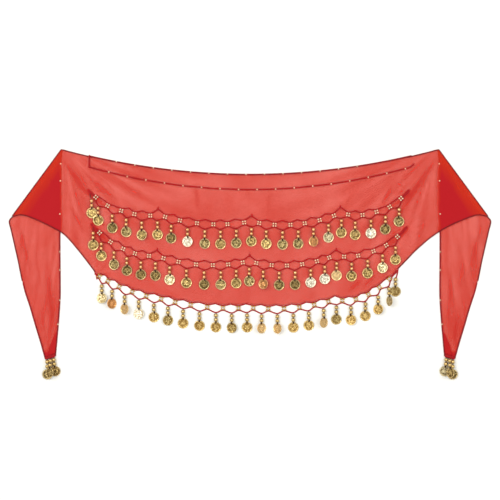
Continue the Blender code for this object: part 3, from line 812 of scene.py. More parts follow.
def resampled(path, step):
    """Points a steady step apart along a path of 3D points, both ends kept."""
    points = [Vector(p) for p in path]
    lengths = measured(points)
    count = max(1, round(lengths[-1] / step))
    spread = [stretch_at(lengths, lengths[-1] * i / count) for i in range(count + 1)]
    return [points[k].lerp(points[k + 1], share) for k, share in spread]


# %% [markdown]
# ## Crochet chain
# A crocheted edging or net is a chain: each stitch is a loop of yarn drawn through the one before it.
# Drawn yarn by yarn it would take miles of curve, so one flattened ring of yarn stands for a stitch,
# tilted so that its tail tucks under the next one, and the tree sets it along the path at the stitch's
# real spacing.

# %% The crochet tree
def crochet_tree():
    tree, given = new_tree("crochet_chain", Stitch_Spacing="Float", Stitch_Length="Float",
                           Stitch_Width="Float", Yarn_Radius="Float", Tuck="Float", Yarn="Material")
    half_long = add(tree, "ShaderNodeMath", given["Stitch Length"], 0.5, operation="MULTIPLY")
    half_wide = add(tree, "ShaderNodeMath", given["Stitch Width"], 0.5, operation="MULTIPLY")
    size = add(tree, "ShaderNodeCombineXYZ", half_long, half_wide, 1.0)
    oval = add(tree, "GeometryNodeTransform", circle(tree, 8, 1.0), Scale=size)
    stitch = add(tree, "GeometryNodeCurveToMesh", oval, circle(tree, 4, given["Yarn Radius"]))
    tuck = add(tree, "ShaderNodeCombineXYZ", Y=given["Tuck"])
    tucked = add(tree, "GeometryNodeTransform", stitch, Rotation=tuck)
    return end_tree(tree, set_along(tree, given, tucked, "X", (0.0, 0.0, 1.0)), given["Yarn"])


CROCHET = crochet_tree()
print("crochet tree:", len(CROCHET.nodes), "nodes")

# %% [markdown]
# ## Cotton yarn and thread
# The edging is a mercerised cotton yarn, burgundy and almost black where it lies over a pale table. It is
# matt with a soft sheen along its plies. A wave turned round the stitch's own place stands for the ply,
# drawn twice as coarse as real. The nets on the cloth are worked in a redder yarn.

# %% The yarn's finish
PLY_MM = 0.8
FADED_MM = 6.0            # size of a paler patch


def yarn_finish(name, light, dark):
    finish, tree, shader = new_finish(name)
    place = add(tree, "ShaderNodeTexCoord").outputs["Object"]
    ply = add(tree, "ShaderNodeTexWave", place, bands_direction="DIAGONAL", Scale=0.3 / (PLY_MM * MM),
              Distortion=3.0, Detail=1.0).outputs["Fac"]
    both = add(tree, "ShaderNodeMath", ply, clouds(tree, place, FADED_MM, 2.0), operation="MULTIPLY",
               use_clamp=True)
    feed(shader, Base_Color=blend(tree, both, linear(dark), linear(light)), Roughness=0.75,
         Normal=add(tree, "ShaderNodeBump", Strength=0.5, Distance=0.0002, Height=ply),
         Specular_IOR_Level=0.25, Sheen_Weight=0.1, Sheen_Roughness=0.5)
    return finish


EDGE_YARN = yarn_finish("burgundy_cotton_yarn", "#c81422", "#7c0610")
NET_YARN = yarn_finish("crimson_cotton_yarn", "#e01620", "#9a040e")
HEM_THREAD = yarn_finish("rolled_hem_thread", "#a81020", "#5e060e")
DARK_THREAD = yarn_finish("waxed_stringing_thread", "#4a1410", "#1e0806")

# %% [markdown]
# ## Crocheted edging
# A chain is worked along the top edge between the ends of the waist line, down the whole inner edge of
# each tail, and along each tail's outer edge from the knee down. The waist line is a second chain on the
# cloth itself: it starts at the edge on the left, and its right end turns up a little.

# %% Edging paths
CHAIN_OUT = 0.9           # middle of a chain beyond the edge that it is worked through
CHAIN_OUT_OVER = 40.0     # a tail's outer chain starts inside the edge and gets there over this length
CORD_END_X = 281.0
WAIST_DROP = 25.5         # from the top edge, in the middle and at its ends
WAIST_END_DROP = 18.5
WAIST_TURN_UP = 5.0
WAIST_WANDER = 0.5
TAIL_OUTER_CORD_FROM_Y = -30.0
EDGING_Z = 1.1            # middle of a chain on the table
PATH_STEPS = 120


def edging_paths():
    """The edging's middle lines by name, in millimetres."""
    shares = [k / PATH_STEPS for k in range(PATH_STEPS + 1)]
    top = []
    waist = []
    for share in shares:
        x = CORD_END_X * (2 * share - 1)
        top.append((x, top_edge(x) + CHAIN_OUT, EDGING_Z))
        y = top_edge(x) - WAIST_DROP + (WAIST_DROP - WAIST_END_DROP) * (2 * share - 1) ** 2
        y += WAIST_WANDER * noise.noise((x / 26, 3.1, 0))
        waist.append((x, y, cloth_face(x, y) + CHAIN_LIFT))
    x, y, z = waist[0]
    waist.insert(0, (x, top_edge(x) + CHAIN_OUT, z))
    x, y, z = waist[-1]
    waist.append((x + WAIST_TURN_UP, y + WAIST_TURN_UP, z))
    paths = {"top_edging": top, "waist_line": waist}
    for side, place in SIDES:
        inner = []
        outer = []
        for ax, ay, bx, by in (through(TAIL_SECTIONS, share) for share in shares):
            inner.append((side * (ax - CHAIN_OUT), ay, EDGING_Z))
            if by < TAIL_OUTER_CORD_FROM_Y:
                out = CHAIN_OUT * (2 * climb(by, TAIL_OUTER_CORD_FROM_Y, -CHAIN_OUT_OVER) - 1)
                outer.append((side * (bx + out), by, EDGING_Z))
        paths["inner_edging_" + place] = inner
        paths["outer_edging_" + place] = outer
    return paths


EDGING_PATHS = edging_paths()
EDGING_STITCH = dict(Stitch_Spacing=2.4 * MM, Stitch_Length=3.3 * MM, Stitch_Width=1.6 * MM,
                     Yarn_Radius=0.66 * MM, Tuck=radians(9))

# %% Work the edging
edgings = {}
for name, path in EDGING_PATHS.items():
    yarn = NET_YARN if name == "waist_line" else EDGE_YARN
    edgings[name] = run_tree(path_curve(name, [path]), name, CROCHET, Yarn=yarn, **EDGING_STITCH)
print("edging triangles:", triangles(edgings))

# %% [markdown]
# ## Rolled hem
# Every edge without a chain is rolled under and overcast with thread, which draws a thin dark line round
# the sheer cloth. The same thread holds the fold of each tail. A round tube follows the grid's own edge,
# and the tree sets a small slanted ring of thread on it at each stitch.

# %% The rolled hem
HEM_R = 1.0
HEM_THREAD_R = 0.16
HEM_LOW = HEM_R + HEM_THREAD_R      # the roll's middle over the table, at least
HEM_STEP = 2.0
HEM_UNDER_CORD = 6.0      # how far the hem goes on below the top edging's ends


def hem_tree():
    tree, given = new_tree("rolled_hem", Roll_Radius="Float", Stitch_Spacing="Float", Thread_Radius="Float",
                           Slant="Float", Thread="Material")
    roll = add(tree, "GeometryNodeCurveToMesh", given["Geometry"], circle(tree, 8, given["Roll Radius"]),
               Fill_Caps=True)
    loop = add(tree, "GeometryNodeCurveToMesh", circle(tree, 6, given["Roll Radius"]),
               circle(tree, 3, given["Thread Radius"]))
    slant = add(tree, "ShaderNodeCombineXYZ", given["Slant"])
    slanted = add(tree, "GeometryNodeTransform", loop, Rotation=slant)
    both = add(tree, "GeometryNodeJoinGeometry", [roll, set_along(tree, given, slanted, "Z")])
    return end_tree(tree, both, given["Thread"])


def edge_runs(row, in_body, in_tail):
    """Runs of points along one edge of the cloth's grid, in the body and the tails where each says so."""
    runs = [[]]
    for c, column in enumerate(COLUMNS):
        keep = in_body if BODY_FROM <= c < BODY_TO else in_tail
        if keep(*column[row][:2]):
            runs[-1].append(column[row])
        elif runs[-1]:
            runs.append([])
    return [run for run in runs if len(run) > 1]


def fold_run(side):
    """The line down the outside of a tail's fold."""
    top, low, _ = crease_line(side, 0.0)
    middle = CLOTH + FOLD_R - SHEET / 2
    return [(*top, middle), (*low, middle)]


net_from = HEM_NET.points[0][0]
net_to = HEM_NET.points[-1][0]
hem_runs = edge_runs(ROWS, lambda x, y: not net_from < x < net_to,
                     lambda x, y: y > TAIL_OUTER_CORD_FROM_Y)
hem_runs += edge_runs(0, lambda x, y: abs(x) > CORD_END_X - HEM_UNDER_CORD,
                      lambda x, y: y > TAIL_SECTIONS[0][1])
hem_runs += [fold_run(side) for side, _ in SIDES]
hem_runs = [[(x, y, max(z, HEM_LOW)) for x, y, z in resampled(run, HEM_STEP)] for run in hem_runs]
hem = run_tree(path_curve("hem", hem_runs), "rolled_hem", hem_tree(), Roll_Radius=HEM_R * MM,
               Stitch_Spacing=2.2 * MM, Thread_Radius=HEM_THREAD_R * MM, Slant=radians(35),
               Thread=HEM_THREAD)
print("hem:", len(hem_runs), "runs, triangles:", triangles({"rolled_hem": hem}))

# %% [markdown]
# ## The nets
# The knots give each chain's course. It is read at small steps, laid on the cloth or on the table, and
# worked with the same crochet tree in a finer yarn. Where a peak is tacked to the cloth, the maker made a
# picot, one short loop that stands up. The nets on the cloth are tied off with a short tail of thread at
# each end. On the bottom net two threads leave the cloth's right corner: one to the last cluster, one to
# the last coin.

# %% Courses of the nets, and their thread ends
COURSE_STEP = 1.6
PICOT = 2.4
END_STEPS = 6
END_BOW = 0.8
NET_STITCH = dict(Stitch_Spacing=2.2 * MM, Stitch_Length=3.0 * MM, Stitch_Width=1.25 * MM,
                  Yarn_Radius=0.6 * MM, Tuck=radians(9))
# where each thread starts and ends
THREAD_ENDS = {
    "coin_row_1": (((-282.3, 130.1), (-279.5, 124)), ((277.7, 130.1), (274.5, 124.5))),
    "coin_row_2": (((-276.7, 70.4), (-268, 58)), ((273.9, 65.4), (265, 56))),
    "coin_row_3": (((-271.5, -12.5), (-268, -24)), ((259, -6.5), (254, -28)))}


def net_courses(net):
    """Its two chains and its picots."""
    steps = round(net.line.length / COURSE_STEP)
    courses = []
    for knots, way in ((net.upper, pointed), (net.lower, waved)):
        distances = [net.line.length * k / steps for k in range(steps + 1)]
        courses.append([net.laid(d, chain_height(knots, d, way)) for d in distances])
    return courses + [[net.laid(d, h), net.laid(d, h + PICOT)] for d, h in net.tacked]


def thread_end(net, start, end):
    """A slightly bowed thread."""
    points = []
    for k in range(END_STEPS + 1):
        x, y = between(start, end, k / END_STEPS)
        x += END_BOW * sin(pi * k / END_STEPS)
        points.append((x, y, net.height(x, y)))
    return points


net_pieces = {}
for name, net in NETS.items():
    paths = net_courses(net) + [thread_end(net, *ends) for ends in THREAD_ENDS[name]]
    net_pieces[name] = run_tree(path_curve(name, paths), name.replace("coin_row", "net"), CROCHET,
                                Yarn=NET_YARN, **NET_STITCH)
print("net triangles:", triangles(net_pieces))

# %% [markdown]
# ## Beads
# Two kinds hang here: round gold-plated beads, two above each coin, and small gold seed beads, four in
# each cluster and one every few stitches of the edging. All are rings of metal or glass on a thread, so
# the tree sweeps a rounded section round a hole, and reads each bead's size and the way its thread runs
# from the points that it is set on.

# %% The bead tree
RING_SHARE = 0.56         # of a bead's radius out to its section's middle


def bead_tree():
    tree, given = new_tree("threaded_beads", Sides="Int", Section_Sides="Int", Roundness="Float",
                           Finish="Material")
    tall = add(tree, "ShaderNodeCombineXYZ", 1.0, given["Roundness"], 1.0)
    section = circle(tree, given["Section Sides"], 1 - RING_SHARE)
    rounded = add(tree, "GeometryNodeTransform", section, Scale=tall)
    bead = add(tree, "GeometryNodeCurveToMesh", circle(tree, given["Sides"], RING_SHARE), rounded)
    radius = add(tree, "GeometryNodeInputNamedAttribute", "radius", data_type="FLOAT")
    way = add(tree, "GeometryNodeInputNamedAttribute", "way", data_type="FLOAT_VECTOR")
    turn = add(tree, "FunctionNodeAlignRotationToVector", axis="Z", Vector=way)
    beads = add(tree, "GeometryNodeInstanceOnPoints", given["Geometry"], Instance=bead, Rotation=turn,
                Scale=radius)
    return end_tree(tree, beads, given["Finish"])


BEADS = bead_tree()


def string_beads(name, beads, radius, finish, sizes):
    """Beads of one size, each a place and the way that its thread runs."""
    cloud = mesh_object(name + "_places", [at for at, way in beads], [])
    set_values(cloud.data, "radius", "FLOAT", [radius * MM] * len(beads))
    set_values(cloud.data, "way", "FLOAT_VECTOR", [tuple(way) for at, way in beads])
    return run_tree(cloud, name, BEADS, Finish=finish, **sizes)


print("bead tree:", len(BEADS.nodes), "nodes")

# %% [markdown]
# ## Gold-plated beads
# The drop beads are plated brass: a smooth mirror of warm gold with a little wear. Between red cloth and a
# bright ceiling each one shows a pale point of light, and the red of the cloth round its rim. Those on the
# cloth are also given a peach gold, a painted reflection of the red cloth, and those off it a plain gold.
# The seed beads are glass with a gold lining, paler and softer.

# %% The beads' finishes
WORN_MM = 3.0


def bead_finish(name, high, low, roughness, metallic):
    """A plated metal: cloudy between two tones, with fine wear in its gloss."""
    finish, tree, shader = new_finish(name)
    wear = clouds(tree, add(tree, "ShaderNodeTexCoord").outputs["Object"], WORN_MM, 3.0)
    feed(shader, Base_Color=blend(tree, wear, linear(low), linear(high)), Metallic=metallic,
         Roughness=add(tree, "ShaderNodeMapRange", wear, To_Min=roughness * 0.7, To_Max=roughness * 1.3),
         Normal=add(tree, "ShaderNodeBump", Strength=0.15, Distance=0.0003, Height=wear))
    return finish


# peach gold for the beads on the cloth, a painted reflection of the red cloth; plain gold for those off it
RED_LIT_GOLD = bead_finish("gold_plated_beads", "#fbc690", "#c08048", 0.25, 0.9)
PLAIN_GOLD = bead_finish("old_gold_beads", "#ecd08c", "#967038", 0.25, 0.9)
SEED_PALE = bead_finish("gold_lined_seed_beads", "#fff3d6", "#f3d6a4", 0.28, 0.3)
SEED_GOLD = bead_finish("brass_seed_beads", "#f2c468", "#b07a30", 0.26, 0.7)

# %% [markdown]
# ## Where each coin hangs
# From a valley a thread runs straight down through two beads to a hole in the coin. A coin lies on the
# cloth or table with its thread end raised a little, or is turned on its thread, as a few are. Thin coins
# are mirrors, so the main light's place is decided here too: a coin that leans towards it flashes white,
# and one that leans halfway is bright on one side and dark on the other.

# %% Camera, main light and the coins' leans
CAMERA_AT = Vector((0.0, 25.8, 2500.0))
MAIN_LIGHT_AT = Vector((-1500.0, 700.0, 2700.0))
COIN_R = 9.2
COIN_THICK = 1.0
COIN_DOWN = 24.6
COIN_LEAN = 0.09
LEAN_TO_TURN = 20.0       # a coin that is turned this far no longer leans
BEAD_DOWN = (4.0, 11.5)
BEAD_R = 3.5
BEAD_SUNK = 0.2
HOLE_OUT = 7.3            # the coin's hole, out from its middle
CHAIN_WIDE = 2.0
COIN_TURNS = {
    "coin_row_1": {4: 18, 8: -16, 15: 32, 19: -14},
    "coin_row_2": {2: 14, 7: -20, 12: 30, 15: -28, 20: 16},
    "coin_row_3": {0: 26, 1: -36, 2: 36, 3: 26, 5: -14, 9: 18, 11: -34, 12: 50, 15: -40, 17: 16, 19: 36,
                   20: 60}}
# share of the way towards the main light
COIN_FLASHES = {
    "coin_row_1": {0: 0.3, 4: 0.5, 5: 0.25, 7: 0.85, 8: 0.45, 12: 0.5, 13: 0.3, 17: 0.25, 19: 0.8},
    "coin_row_2": {6: 0.55, 7: 0.5, 9: 0.4, 11: 0.4, 15: 0.8, 16: 0.55, 20: 0.5, 21: 0.3},
    "coin_row_3": {0: 0.5, 3: 0.7, 12: 0.3, 13: 0.3, 19: 0.45}}
RISE = Vector((0.0, 0.0, 1.0))


def drop(root, ground, turn_deg, start, heading_deg=0.0, length=1.0, spin_deg=0.0, flash=0.0):
    """The beads, the coin's place and rotation, and the thread of one drop."""
    turn = radians(turn_deg)
    heading = radians(heading_deg)
    down = Vector((sin(heading), -cos(heading), 0.0))
    side = Vector((cos(heading), sin(heading), 0.0))
    root = Vector((*root, 0.0))
    beads = [root + far * length * down + (ground + BEAD_R - BEAD_SUNK) * RISE for far in BEAD_DOWN]
    lean = COIN_LEAN * max(0.0, 1.0 - abs(turn_deg) / LEAN_TO_TURN)
    middle = root + COIN_DOWN * length * down
    half_way = ((CAMERA_AT - middle).normalized() + (MAIN_LIGHT_AT - middle).normalized()).normalized()
    face = (cos(turn) * RISE - sin(turn) * side + lean * down).normalized()
    face = face.lerp(half_way, flash).normalized()
    up = (face.dot(down) * face - down).normalized()
    middle += (ground + COIN_R * max(sqrt(1.0 - face.z ** 2), lean) + COIN_THICK / 2) * RISE
    basis = Matrix((up.cross(face), up, face)).transposed()
    basis = basis @ Matrix.Rotation(radians(spin_deg), 3, "Z")
    hole = middle + basis @ Vector((0.0, HOLE_OUT, 0.0))
    return dict(beads=[(bead, -down) for bead in beads], middle=middle, turn=basis.to_euler(), hole=hole,
                thread=[start, *beads, hole + BEAD_SUNK * RISE])


def coin_ground(net, x, y):
    """What a coin lies on: the highest cloth under it, or the table."""
    reach = (-COIN_R, 0.0, COIN_R) if net.on_cloth else ()
    return max((cloth_face(x + i, y + j) for i in reach for j in reach), default=0.0) + GAP


# %% Place the drops
FIRST_COIN_SHIFT = (3.4, -4.6)      # the first coin of the top row has slipped down against its neighbour
FIRST_COIN_OVER = 1.3
FIRST_THREADS_UP = {"coin_row_1": 3.5, "coin_row_2": 9.0}      # how far above its drop a first thread starts
SPIN_DEG = 7.0

rng = random.Random(41)
DROPS = {}
for name, net in NETS.items():
    DROPS[name] = []
    for k, (distance, height) in enumerate(net.valleys):
        x, y = net.place(distance, height - CHAIN_WIDE / 2)
        z = net.height(x, y)
        start = (x, y, z) if k else (x, y + FIRST_THREADS_UP.get(name, 0.0), z)
        ground = coin_ground(net, x, y - COIN_DOWN)
        if name == "coin_row_1" and k == 0:
            x += FIRST_COIN_SHIFT[0]
            y += FIRST_COIN_SHIFT[1]
            ground += FIRST_COIN_OVER
        spin = rng.uniform(-SPIN_DEG, SPIN_DEG)
        DROPS[name].append(drop((x, y), ground, COIN_TURNS[name].get(k, 0), start, spin_deg=spin,
                                flash=COIN_FLASHES[name].get(k, 0)))
print("drops on the nets:", {name: len(found) for name, found in DROPS.items()})

# %% [markdown]
# ## The tips
# Each tail's tip is drawn together and wound with yarn, and three more coins hang from it, close enough
# to lie over each other.

# %% Drops of the tips
TIP_BAR_R = 1.7
# each drop's share of the way across the tip, heading, turn, height over the table and length
TIP_DROPS = ((0.11, -6, 0, 0, 0.98), (0.41, 3, -36, 4.2, 1), (0.80, -1, 0, 2.1, 1.06))
TIP_INNER = Vector(TAIL_SECTIONS[-1][:2])
TIP_OUTER = Vector(TAIL_SECTIONS[-1][2:])

for side, place in SIDES:
    found = []
    for share, heading, turn, over, length in TIP_DROPS:
        at = TIP_INNER.lerp(TIP_OUTER, share)
        root = (side * at.x, at.y - GAP - 2 * TIP_BAR_R)
        found.append(drop(root, GAP + over, side * turn, (*root, GAP + TIP_BAR_R), side * heading, length))
    DROPS["tip_coins_" + place] = found
print("drops:", sum(len(found) for found in DROPS.values()))

# %% [markdown]
# ## Stamped brass coins
# A costume coin is cut from thin brass sheet and stamped with a raised rim, a ring of dots and a device. The
# devices here are plain ornaments: a rosette, a star and a sun. Relief is a height for each point of a polar
# grid, the way a die is cut, and the same height is kept as an attribute, because old brass stays dark in
# its hollows. The cut edge takes a low value too, a painted shade that draws the dark outline round each
# coin. The blow of the die leaves thin sheet slightly cupped.

# %% Shape of a coin
COIN_RINGS = 20
COIN_SEGMENTS = 72
BACK_RINGS = 4
RIM_HALF = 0.33           # half the coin's thickness
CUP = 0.45                # how far the middle lies lower than the rim
RELIEF = 0.3              # height of the stamping
SHADED_EDGE_AND_BACK = 0.15          # relief value of the cut edge, a painted shade for the dark outline round the coin, and of the back
DOTS = 18
DEVICE_R = 0.66           # share of the radius that the device fills
HOLE_R = 0.95
HOLE_SIDES = 16


def bump_at(value, middle, half):
    """1 at the middle of a raised band and 0 past its half width."""
    t = (value - middle) / half
    return cos(t * pi / 2) ** 2 if abs(t) < 1 else 0.0


def rosette(r, a):
    petal = abs(cos(4 * a)) ** 1.5 * bump_at(r, 0.36, 0.24)
    return max(petal, bump_at(r, 0.0, 0.14))


def star(r, a):
    point = 0.24 + 0.32 * abs(cos(4 * a)) ** 5
    middle = bump_at(r, 0.0, 0.1)
    return max(0.9 * climb((point - r) / 0.08, -0.5, 1), middle) - 0.8 * bump_at(r, 0.15, 0.05)


def sun(r, a):
    rays = max(0.0, cos(12 * a)) ** 2 * bump_at(r, 0.47, 0.14)
    return max(rays, 0.9 * bump_at(r, 0.27, 0.06), 0.8 * bump_at(r, 0.0, 0.18))


def coin_relief(device, r, a):
    rim = climb(r, 0.86, 0.05) * climb(r, 1.02, -0.04)
    dots = bump_at(r, 0.75, 0.07) * max(0.0, cos(DOTS * a)) ** 1.5
    return max(rim, 0.9 * dots, 0.85 * device(r, a) if r < DEVICE_R else 0.0)


def coin_blank(name, device):
    """A coin with its face up and its hole towards +Y, as a closed mesh."""
    points = []
    relief = []

    def ring(r, count, on_face):
        """Adds a ring of points on the face or the back: their numbers."""
        for s in range(count):
            a = FULL_TURN * s / COIN_SEGMENTS
            height = coin_relief(device, r, a)
            z = RIM_HALF + RELIEF * (height - 1.0) if on_face else -RIM_HALF
            points.append((COIN_R * r * sin(a), COIN_R * r * cos(a), z - CUP * (1 - r * r)))
            # the outermost ring takes the painted edge shade, and the back the same low value
            relief.append(height if on_face and r < 1 else SHADED_EDGE_AND_BACK)
        return range(len(points) - count, len(points))

    ring(0.0, 1, True)
    rings = [ring(k / COIN_RINGS, COIN_SEGMENTS, True) for k in range(1, COIN_RINGS + 1)]
    rings += [ring(k / BACK_RINGS, COIN_SEGMENTS, False) for k in range(BACK_RINGS, 0, -1)]
    ring(0.0, 1, False)
    faces = []
    for s in range(COIN_SEGMENTS):
        n = (s + 1) % COIN_SEGMENTS
        faces.append((0, rings[0][n], rings[0][s]))
        faces += [(a[s], a[n], b[n], b[s]) for a, b in zip(rings, rings[1:])]
        faces.append((rings[-1][s], rings[-1][n], len(points) - 1))
    made = mesh_object(name, points, faces)
    set_values(made.data, "relief", "FLOAT", relief)
    bpy.ops.mesh.primitive_cylinder_add(vertices=HOLE_SIDES, radius=HOLE_R * MM, depth=4 * MM,
                                        location=(0.0, HOLE_OUT * MM, 0.0))
    punch = bpy.context.object
    cut = made.modifiers.new("hole", "BOOLEAN")
    cut.object = punch
    cut.operation = "DIFFERENCE"
    freeze(made)
    bpy.data.objects.remove(punch)
    return made


BLANKS = {kind.__name__: coin_blank("coin_" + kind.__name__, kind) for kind in (rosette, star, sun)}
print("coin triangles:", triangles(BLANKS))

# %% [markdown]
# ## Old brass
# Brass is a warm yellow mirror. Years of sweat and powder leave a brown-green patina in the hollows, and
# wear polishes what stands up, the rim most of all, to a pale cream; that cream is also a painted highlight,
# peach with a painted reflection of the red cloth on the coins of the top two rows and the tips. Each coin
# has its own tone: partly because the strip that they were cut from was plated unevenly, and partly painted
# light, paler for the coins that flash towards the main light or are turned towards the dim walls.

# %% The brass finish
STAIN_MM = 2.4            # size of a patch of patina
STAIN_CONTRAST = 3.4
STAIN_SHARE = 0.12        # polish of a middling patch of a hollow


def brass_finish(name, patina, worn_and_lit_rim):
    finish, tree, shader = new_finish(name)
    tone = add(tree, "ShaderNodeAttribute", attribute_name="tone").outputs
    relief = add(tree, "ShaderNodeAttribute", attribute_name="relief").outputs["Fac"]
    stain = clouds(tree, add(tree, "ShaderNodeTexCoord").outputs["Object"], STAIN_MM, 2.0)
    patches = add(tree, "ShaderNodeMath", stain, STAIN_CONTRAST, STAIN_SHARE - STAIN_CONTRAST / 2,
                  operation="MULTIPLY_ADD")
    polish = add(tree, "ShaderNodeMath", relief, patches, operation="ADD", use_clamp=True)
    hollow = blend(tree, tone["Alpha"], tone["Color"], linear(patina), blend_type="MULTIPLY")
    stamped = blend(tree, polish, hollow, tone["Color"])
    # painted highlight: the highest relief, the rim most of all, turns pale cream, partly wear
    high = add(tree, "ShaderNodeMapRange", relief, interpolation_type="SMOOTHSTEP", From_Min=0.8, To_Max=0.7)
    feed(shader, Base_Color=blend(tree, high, stamped, linear(worn_and_lit_rim)), Metallic=0.75,
         Roughness=add(tree, "ShaderNodeMapRange", polish, To_Min=0.45, To_Max=0.22),
         Normal=add(tree, "ShaderNodeBump", Strength=0.3, Distance=0.0003, Height=stain))
    return finish


# two copies of one brass: here the rim is a peach cream, partly wear and partly painted highlight with a
# painted reflection of the red cloth; the bottom row over the table has a less pale rim and a paler patina
BRASS = brass_finish("stamped_brass", "#6c5e42", "#ffe3b2")
BOTTOM_ROW_BRASS = brass_finish("worn_brass", "#94805a", "#d8b87a")
# a colour, and how much of the patina it keeps; white, pale and tan are partly painted light, given to coins
# that flash towards the main light or are turned towards the dim walls
TONES = {"dark": ("#b89e60", 1.0), "olive": ("#ceb678", 1.0), "gold": ("#ecca80", 1.0),
         "tan": ("#ffd99a", 0.6), "pale": ("#f8e8b8", 0.9), "white": ("#efe6d0", 0.8),
         "amber": ("#fdb672", 0.8)}
ROW_TONES = {
    "coin_row_1": "gold gold dark olive dark gold dark white olive gold olive gold gold olive olive amber "
                  "pale gold gold white dark olive",
    "coin_row_2": "gold gold olive dark dark dark pale gold dark olive gold olive amber dark dark white "
                  "white tan gold gold pale gold",
    "coin_row_3": "pale amber tan white gold olive gold gold gold dark gold tan tan gold gold tan olive "
                  "gold gold gold pale olive",
    "tip_coins_left": "gold gold olive",
    "tip_coins_right": "pale gold olive"}

# %% The coin tree
def coin_tree():
    tree, given = new_tree("hung_coins", Rosette="Object", Star="Object", Sun="Object", Brass="Material")
    kinds = add(tree, "GeometryNodeGeometryToInstance", [
        add(tree, "GeometryNodeObjectInfo", given[label]).outputs["Geometry"]
        for label in ("Sun", "Star", "Rosette")])
    kind = add(tree, "GeometryNodeInputNamedAttribute", "kind", data_type="INT")
    turn = add(tree, "GeometryNodeInputNamedAttribute", "turn", data_type="FLOAT_VECTOR")
    rotation = add(tree, "FunctionNodeEulerToRotation", turn)
    coins = add(tree, "GeometryNodeInstanceOnPoints", given["Geometry"], Pick_Instance=True, Instance=kinds,
                Instance_Index=kind, Rotation=rotation)
    return end_tree(tree, coins, given["Brass"])


COIN_TREE = coin_tree()
print("coin tree:", len(COIN_TREE.nodes), "nodes")

# %% Hang the coins and thread the drop beads
DROP_BEAD = dict(Sides=12, Section_Sides=8, Roundness=2.1)


def piece_name(what, name):
    """coin_row_2 gives coins_2, and tip_coins_left gives coins_tip_left."""
    return what + "_" + name.replace("coin_row_", "").replace("tip_coins_", "tip_")


coin_pieces = {}
for name, drops in DROPS.items():
    cloud = mesh_object(name + "_places", [d["middle"] for d in drops], [])
    set_values(cloud.data, "kind", "INT", [rng.randrange(len(BLANKS)) for _ in drops])
    set_values(cloud.data, "turn", "FLOAT_VECTOR", [tuple(d["turn"]) for d in drops])
    set_values(cloud.data, "tone", "FLOAT_COLOR", [linear(*TONES[tone]) for tone in ROW_TONES[name].split()])
    coin_pieces[name] = run_tree(cloud, piece_name("coins", name), COIN_TREE, Rosette=BLANKS["rosette"],
                                 Star=BLANKS["star"], Sun=BLANKS["sun"],
                                 Brass=BOTTOM_ROW_BRASS if name == "coin_row_3" else BRASS)
for blank in BLANKS.values():
    bpy.data.objects.remove(blank)
bead_pieces = {}
for name, drops in DROPS.items():
    # the beads on the cloth take the painted red reflection
    gold = RED_LIT_GOLD if name in ("coin_row_1", "coin_row_2") else PLAIN_GOLD
    beads = [bead for d in drops for bead in d["beads"]]
    bead_pieces[name] = string_beads(piece_name("drop_beads", name), beads, BEAD_R, gold, DROP_BEAD)
print("coin triangles:", triangles(coin_pieces))
print("drop bead triangles:", triangles(bead_pieces))

# %% [markdown]
# ## Threads
# Thread runs from the net through both beads, over the coin's edge and down through its hole, and is
# knotted there. It shows as a dark stroke between the beads and a dark knot on the coin.

# %% Threads and knots
THREAD_R = 0.5
KNOT_TURNS = 3
KNOT_STEPS = 8
KNOT_APART = 0.6
KNOT_AT = (1.1, 0.1)      # the knot's middle from the coin's hole: towards the coin's edge, and up
KNOT_TALL = 1.55


def knot_loop(d, shift):
    """One turn of thread round a coin's edge, through its hole."""
    basis = d["turn"].to_matrix()
    middle = d["hole"] + basis @ Vector((shift, *KNOT_AT))
    turns = [FULL_TURN * k / KNOT_STEPS for k in range(KNOT_STEPS + 1)]
    return [middle + basis @ Vector((0.2 * shift, KNOT_TALL * cos(a), sin(a))) for a in turns]


def tube(name, paths, radius, finish):
    """Plain round thread along some paths, frozen to a mesh."""
    made = path_curve(name, paths)
    made.data.bevel_depth = radius * MM
    made.data.bevel_resolution = 1
    made.data.use_fill_caps = True
    made.data.materials.append(finish)
    return freeze(made, name)


thread_pieces = {}
for name, drops in DROPS.items():
    paths = []
    for d in drops:
        paths += [d["thread"], *(knot_loop(d, KNOT_APART * (k - 1)) for k in range(KNOT_TURNS))]
    thread_pieces[name] = tube(piece_name("threads", name), paths, THREAD_R, DARK_THREAD)
print("thread triangles:", triangles(thread_pieces))

# %% [markdown]
# ## Seed beads
# Four seed beads in a square hide each meeting of the two chains, and single ones are worked into the
# edging every few stitches, closer or wider where the maker's count slipped.

# %% Seed beads of the nets and the edging
# radius, half the square and finish, for the nets on the cloth and for the one off the hem
SEEDS = {True: (1.55, 2.05, SEED_PALE), False: (1.85, 2.3, SEED_GOLD)}
SEED_OVER = 0.2
SEED_BEAD = dict(Sides=8, Section_Sides=6, Roundness=1.9)
EDGE_BEAD_R = 1.35
EDGE_BEAD_SPACING = 32.4
EDGE_BEAD_UP = 0.5
UNDER_CLOTH_Y = 55.0      # above it the tails' inner edges lie under the body, which their beads press up
TOP_BEADS = [-233.8 + EDGE_BEAD_SPACING * k for k in range(14)]
WAIST_BEADS = [-246.8 + EDGE_BEAD_SPACING * k for k in range(17)]
INNER_BEADS_Y = (176.5, 146.7, 88.8, 22.8, -9.2, -62, -104)


def cluster_beads(net, radius, apart):
    found = []
    for d in net.clusters:
        along = net.line.at(d)[1]
        for i in (-1, 1):
            for j in (-1, 1):
                x, y = net.place(d, apart * j, apart * i)
                face = cloth_face(x, y) if net.on_cloth else 0.0
                found.append(((x, y, face + radius + SEED_OVER), (*along, 0.0)))
    return found


